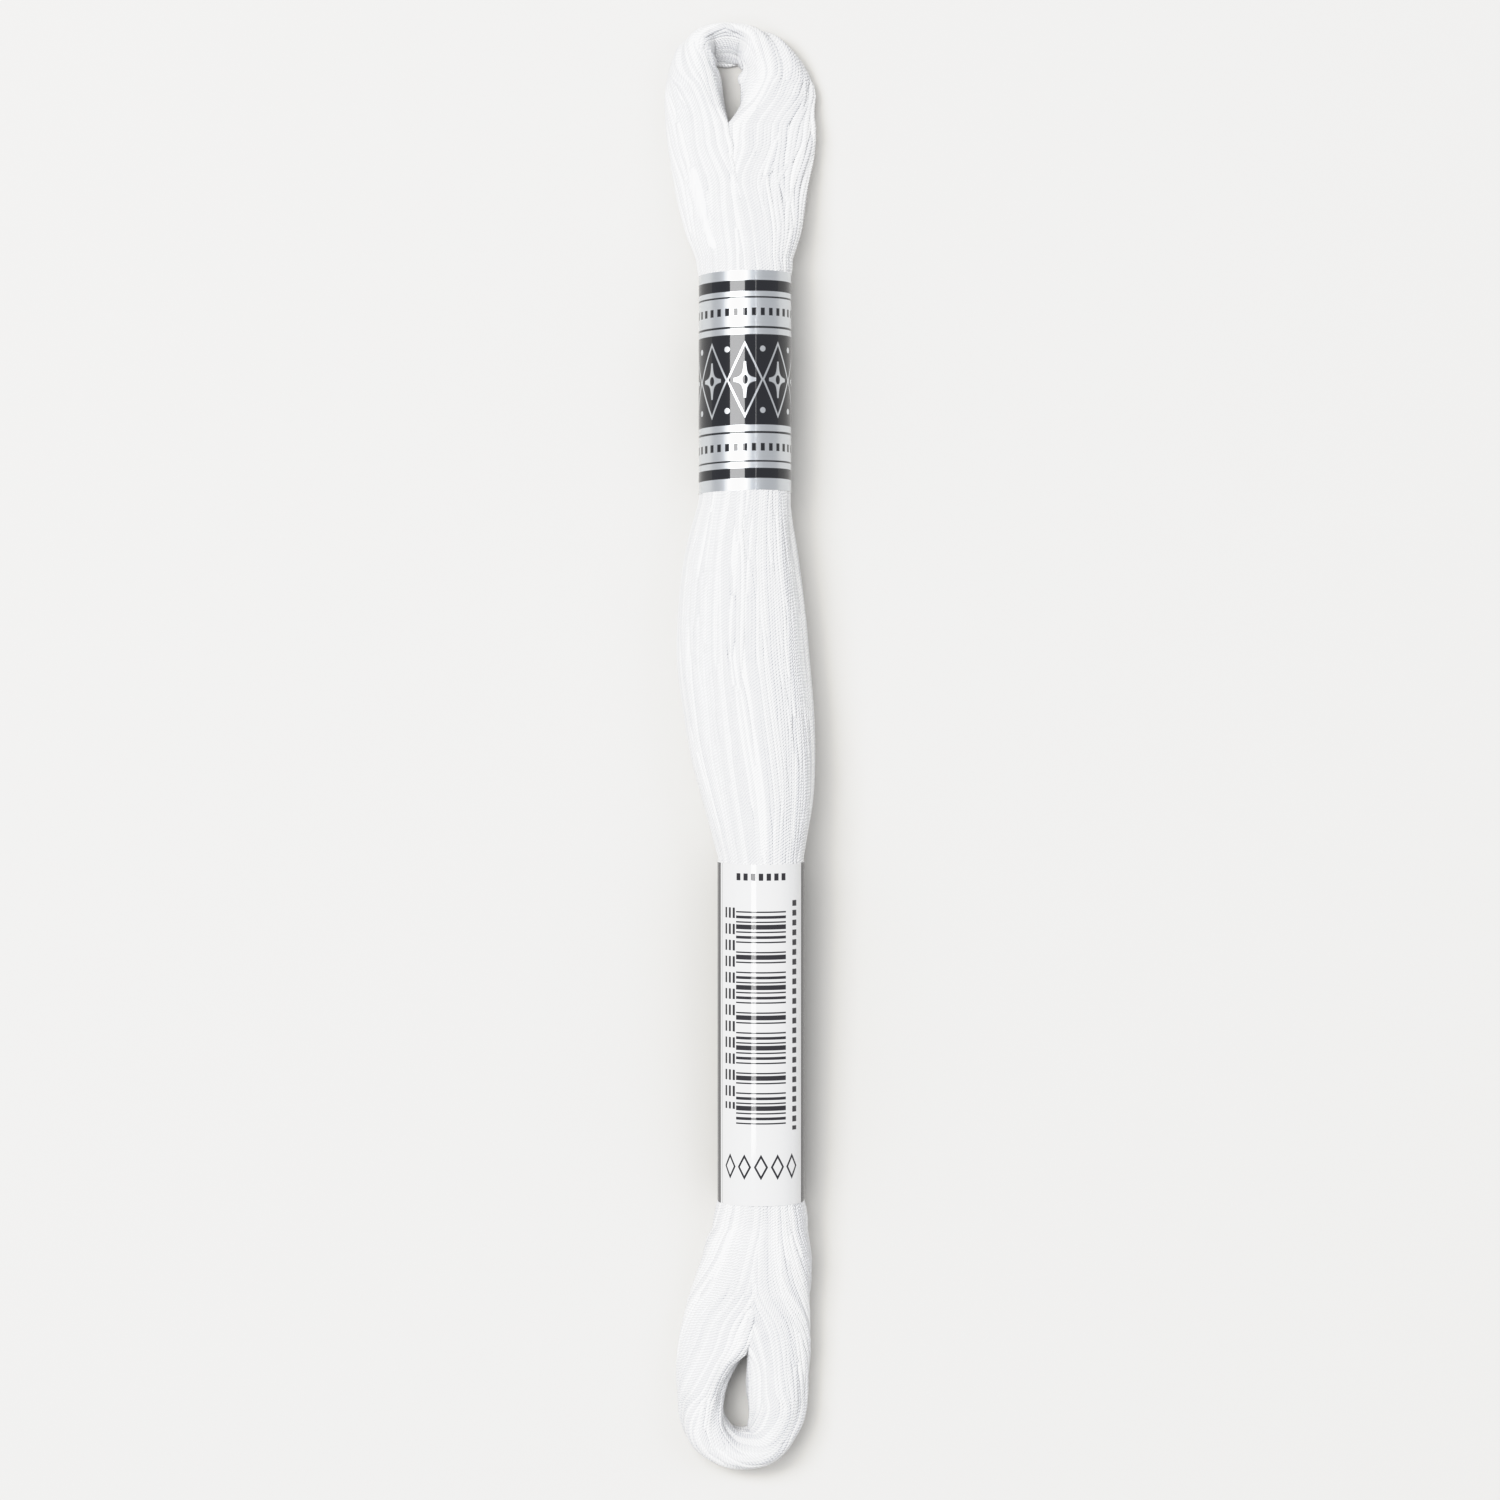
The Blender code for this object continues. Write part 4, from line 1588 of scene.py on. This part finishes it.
    def build(self, quick: bool) -> list[bpy.types.Object]:
        """Winds and dresses the thread.

        Args:
            quick: a rougher winding, for a first look.

        Returns:
            The pieces.
        """
        lines = self.winding.strands(quick)
        material = self.finish.make()
        rng = np.random.default_rng(self.winding.seed + 1)
        made = []
        share = math.ceil(len(lines) / self.pieces)
        for i in range(self.pieces):
            piece = self.build_piece(f"thread_turns_{i + 1}", lines[i * share : (i + 1) * share], rng)
            piece.data.materials.append(material)
            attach(piece, "root")
            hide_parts(Node.HANK.value)
            made.append(piece)
            LOG.info("%s: %d faces", piece.name, len(piece.data.polygons))
        return made


# ---------------------------------------------------------------------------------------------------------
# Pieces made by hand operators
# ---------------------------------------------------------------------------------------------------------


def only(obj: bpy.types.Object) -> None:
    """Deselects everything else and makes one object the active one."""
    for other in bpy.context.view_layer.objects:
        other.select_set(False)
    obj.select_set(True)
    bpy.context.view_layer.objects.active = obj


def apply_modifiers(obj: bpy.types.Object) -> None:
    """Applies all of an object's modifiers, in order."""
    only(obj)
    for modifier in list(obj.modifiers):
        bpy.ops.object.modifier_apply(modifier=modifier.name)


@dataclass
class InnerTurns:
    """The turns that lie under the outer ones, seen only through the gaps between them."""

    depth: float = 0.82  # how far they lie under the solid's skin
    cell: float = 0.55
    merge: float = 0.01  # the solid's loose triangles are joined within this
    ends: tuple[float, float] = (75.0, -71.0)  # where they are cut off, short of the eyes' far ends
    finish: InnerCottonFinish = InnerCottonFinish()

    def build(self) -> bpy.types.Object:
        """Shrinks a copy of the hank's solid under the outer turns.

        Returns:
            The piece.
        """
        mesh = bpy.data.objects[Node.HANK.value].data.copy()
        mesh.name = "inner_turns"
        mesh.materials.clear()
        body = bpy.data.objects.new("inner_turns", mesh)
        bpy.context.scene.collection.objects.link(body)
        only(body)
        bpy.ops.object.mode_set(mode="EDIT")
        bpy.ops.mesh.select_all(action="SELECT")
        bpy.ops.mesh.remove_doubles(threshold=self.merge * MM)
        bpy.ops.object.mode_set(mode="OBJECT")
        remesh = body.modifiers.new("even", "REMESH")
        remesh.mode = "VOXEL"
        remesh.voxel_size = self.cell * MM
        apply_modifiers(body)
        bpy.ops.object.mode_set(mode="EDIT")
        bpy.ops.mesh.select_all(action="SELECT")
        bpy.ops.transform.shrink_fatten(value=-self.depth * MM)
        bpy.ops.mesh.vertices_smooth(factor=0.5, repeat=2)
        for end in self.ends:
            bpy.ops.mesh.select_all(action="SELECT")
            outwards = (0, math.copysign(1, end), 0)
            bpy.ops.mesh.bisect(plane_co=(0, end * MM, 0), plane_no=outwards, use_fill=True, clear_outer=True)
        bpy.ops.object.mode_set(mode="OBJECT")
        body.data.shade_smooth()
        body.data.materials.append(self.finish.make())
        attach(body, "root")
        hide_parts(Node.HANK.value)
        LOG.info("%s: %d faces", body.name, len(body.data.polygons))
        return body


@dataclass
class PaperBand:
    """A strip of paper wrapped round the trunk and lapped underneath."""

    name: str
    node: Node
    slot: Slot
    fit: BandFit
    outside: SilverPrintFinish | WhitePrintFinish
    inside: BarePaperFinish
    skew: float  # degrees by which its ends run askew
    sides: int = 128
    rows: int = 26
    lap: tuple[float, float] = (-98.0, -62.0)  # degrees from +X, where the paper lies double
    lap_lift: float = 1.15  # how far the free edge stands off its start, in thicknesses of the paper
    sharp: float = 35.0  # degrees past which an edge stays sharp

    def wrap_map(self, obj: bpy.types.Object) -> None:
        """Gives the band its own map: millimetres round from the middle of its top, and from its outer end.

        Args:
            obj: the band, still straight along Z about its own middle.
        """
        mesh = obj.data
        layer = mesh.uv_layers.new(name="wrap")
        radius = self.fit.diameter / 2
        for polygon in mesh.polygons:
            middle = math.atan2(-polygon.center.x, polygon.center.y)
            for index in polygon.loop_indices:
                point = mesh.vertices[mesh.loops[index].vertex_index].co
                angle = math.atan2(-point.x, point.y)
                angle += 2 * math.pi * round((middle - angle) / (2 * math.pi))
                layer.data[index].uv = (angle * radius, self.fit.length / 2 - point.z / MM)
        for other in [item for item in mesh.uv_layers if item.name != "wrap"]:
            mesh.uv_layers.remove(other)

    def build(self) -> bpy.types.Object:
        """Wraps, laps, thickens and prints the band.

        Returns:
            The piece.
        """
        bpy.ops.object.select_all(action="DESELECT")
        bpy.ops.mesh.primitive_cylinder_add(
            vertices=self.sides,
            radius=self.fit.diameter / 2 * MM,
            depth=self.fit.length * MM,
            end_fill_type="NOTHING",
        )
        band = bpy.context.object
        band.name = band.data.name = self.name
        bpy.ops.object.mode_set(mode="EDIT")
        for i in range(1, self.rows):
            bpy.ops.mesh.select_all(action="SELECT")
            height = (i / self.rows - 0.5) * self.fit.length * MM
            bpy.ops.mesh.bisect(plane_co=(0, 0, height), plane_no=(0, 0, 1))
        bpy.ops.object.mode_set(mode="OBJECT")
        self.wrap_map(band)
        self.add_lap(band)
        wall = band.modifiers.new("paper", "SOLIDIFY")
        wall.thickness = PAPER_WALL * MM
        wall.offset = -1
        wall.material_offset = 1
        wall.material_offset_rim = 1
        band.data.materials.append(self.outside.make())
        band.data.materials.append(self.inside.make())
        apply_modifiers(band)
        self.seat(band)
        band.data.shade_smooth()
        band.data.set_sharp_from_angle(angle=math.radians(self.sharp))
        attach(band, "root")
        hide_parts(self.node.value)
        LOG.info("%s: %d faces", band.name, len(band.data.polygons))
        return band

    def add_lap(self, band: bpy.types.Object) -> None:
        """Lays the paper's free edge over its start, on the underside.

        Args:
            band: the band, still straight along Z, with +Y its top.
        """
        only(band)
        bpy.ops.object.mode_set(mode="EDIT")
        mesh = bmesh.from_edit_mesh(band.data)
        low, high = self.lap
        for face in mesh.faces:
            centre = face.calc_center_median()
            angle = math.degrees(math.atan2(centre.y, centre.x))
            face.select_set(low < angle < high)
        mesh.select_flush_mode()
        bmesh.update_edit_mesh(band.data)
        bpy.ops.mesh.duplicate()
        bpy.ops.transform.shrink_fatten(value=PAPER_WALL * self.lap_lift * MM)
        bpy.ops.object.mode_set(mode="OBJECT")

    def seat(self, band: bpy.types.Object) -> None:
        """Turns the straight tube to its place round the trunk.

        Args:
            band: the finished tube, along Z.
        """
        fit = self.fit
        outer_is_up = fit.outer_end > fit.inner_end
        laid = Matrix(((-1, 0, 0, 0), (0, 0, 1, 0), (0, 1, 0, 0), (0, 0, 0, 1)))
        pitch = math.radians(-fit.pitch if outer_is_up else fit.pitch)
        middle = Vector((fit.x, (fit.outer_end + fit.inner_end) / 2, fit.axis_height(0.5))) * MM
        skewed = Matrix.Identity(4)
        skewed[1][0] = math.tan(math.radians(self.skew))
        place = Matrix.Translation(middle) @ skewed @ Matrix.Rotation(pitch, 4, "X") @ laid
        band.data.transform(place)
        band.data.update()


# ---------------------------------------------------------------------------------------------------------
# The studio
# ---------------------------------------------------------------------------------------------------------


@dataclass
class Studio:
    """The pale board, the soft lights and the camera straight above."""

    camera_place: tuple[float, float, float] = (1.14, -0.38, 755.9)
    lens: float = 153.2
    board: float = 900.0  # half the board's side
    board_drop: float = 0.02  # keeps the board clear of what rests on it
    light_distance: float = 1.0  # metres
    fill: float = 0.60
    room: tuple[float, float, float, float] = (0.97, 0.98, 1.0, 1.0)
    white_level: float = 1.9
    # What the picture shows for each brightness in the scene, which keeps lines in the white thread.
    tones: tuple[tuple[float, float], ...] = (
        (0.3, 0.305),
        (0.6, 0.61),
        (0.85, 0.845),
        (1.0, 0.895),
        (1.2, 0.952),
    )
    brightest: float = 0.99
    floor: FloorFinish = FloorFinish()

    def lay_board(self) -> bpy.types.Object:
        """Returns the board under the hank."""
        bpy.ops.object.select_all(action="DESELECT")
        bpy.ops.mesh.primitive_plane_add(size=self.board * MM * 2, location=(0, 0, -self.board_drop * MM))
        board = bpy.context.object
        board.name = board.data.name = "board"
        bpy.ops.object.transform_apply(location=True)
        board.data.materials.append(self.floor.make())
        return board

    def add_light(
        self, name: str, power: float, across: tuple[float, float], along: tuple[float, float], mirrored: bool
    ) -> None:
        """Hangs a soft light, a rectangle with its sides along X and Y.

        Args:
            name: its name.
            power: in watts.
            across: the angles from straight above, in degrees, that it spans towards +X.
            along: the angles that it spans towards +Y.
            mirrored: whether glossy surfaces show it.
        """
        far = self.light_distance
        light = bpy.data.lights.new(name, "AREA")
        light.energy = power
        light.shape = "RECTANGLE"
        light.size = 2 * far * math.tan(math.radians(across[1] - across[0]) / 2)
        light.size_y = 2 * far * math.tan(math.radians(along[1] - along[0]) / 2)
        lamp = bpy.data.objects.new(name, light)
        bpy.context.scene.collection.objects.link(lamp)
        slopes = [math.tan(math.radians(sum(span) / 2)) for span in (across, along)]
        away = Vector((*slopes, 1.0)).normalized()
        side = Vector((0, 1, 0)).cross(away).normalized()
        lamp.location = away * far
        lamp.rotation_euler = Matrix((side, away.cross(side), away)).transposed().to_euler()
        lamp.visible_glossy = mirrored

    def light_up(self) -> None:
        """Hangs the lights and fills the room."""
        self.add_light("key", 6.9, (-37.0, -1.0), (2.0, 20.0), True)
        self.add_light("glint", 0.85, (-25.5, -12.5), (-13.5, -6.0), True)
        self.add_light("far_strip", 0.12, (26.2, 27.8), (2.0, 17.0), True)
        self.add_light("side", 0.9, (20.0, 50.0), (0.0, 20.0), False)
        world = bpy.data.worlds.new("room")
        world.use_nodes = True
        back = world.node_tree.nodes["Background"]
        back.inputs["Color"].default_value = self.room
        back.inputs["Strength"].default_value = self.fill
        bpy.context.scene.world = world

    def place_camera(self) -> None:
        """Puts the camera straight above, as the picture was taken."""
        camera = bpy.data.cameras.new("camera")
        camera.lens = self.lens
        camera.sensor_width = 36.0
        camera.clip_start, camera.clip_end = 0.05, 10.0
        holder = bpy.data.objects.new("camera", camera)
        bpy.context.scene.collection.objects.link(holder)
        holder.location = Vector(self.camera_place) * MM
        bpy.context.scene.camera = holder

    def build(self) -> None:
        """Sets up the whole studio."""
        self.lay_board()
        self.light_up()
        self.place_camera()
        view = bpy.context.scene.view_settings
        view.view_transform = "Standard"
        view.use_curve_mapping = True
        curve = view.curve_mapping
        curve.white_level = (self.white_level,) * 3
        combined = curve.curves[3]
        for brightness, shown in self.tones:
            combined.points.new(brightness / self.white_level, shown)
        combined.points[-1].location = (1.0, self.brightest)
        curve.update()


def main() -> None:
    """Builds the hank piece by piece and reports each one."""
    logging.basicConfig(level=logging.INFO, format="%(message)s")
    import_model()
    Studio().build()
    ThreadTurns(Winding(RingPath(HankForm()).ring())).build(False)
    InnerTurns().build()
    foil = PaperBand(
        name="silvered_strip",
        node=Node.FOIL,
        slot=Slot.SILVERED,
        fit=FOIL_FIT,
        outside=SilverPrintFinish(),
        inside=BarePaperFinish("silvered_backing", (0.82, 0.81, 0.79)),
        skew=1.6,
    )
    foil.build()
    label = PaperBand(
        name="white_strip",
        node=Node.LABEL,
        slot=Slot.WHITE,
        fit=LABEL_FIT,
        outside=WhitePrintFinish(),
        inside=BarePaperFinish("white_backing", (0.84, 0.84, 0.83)),
        skew=0.0,
    )
    label.build()


if __name__ == "__main__":
    main()
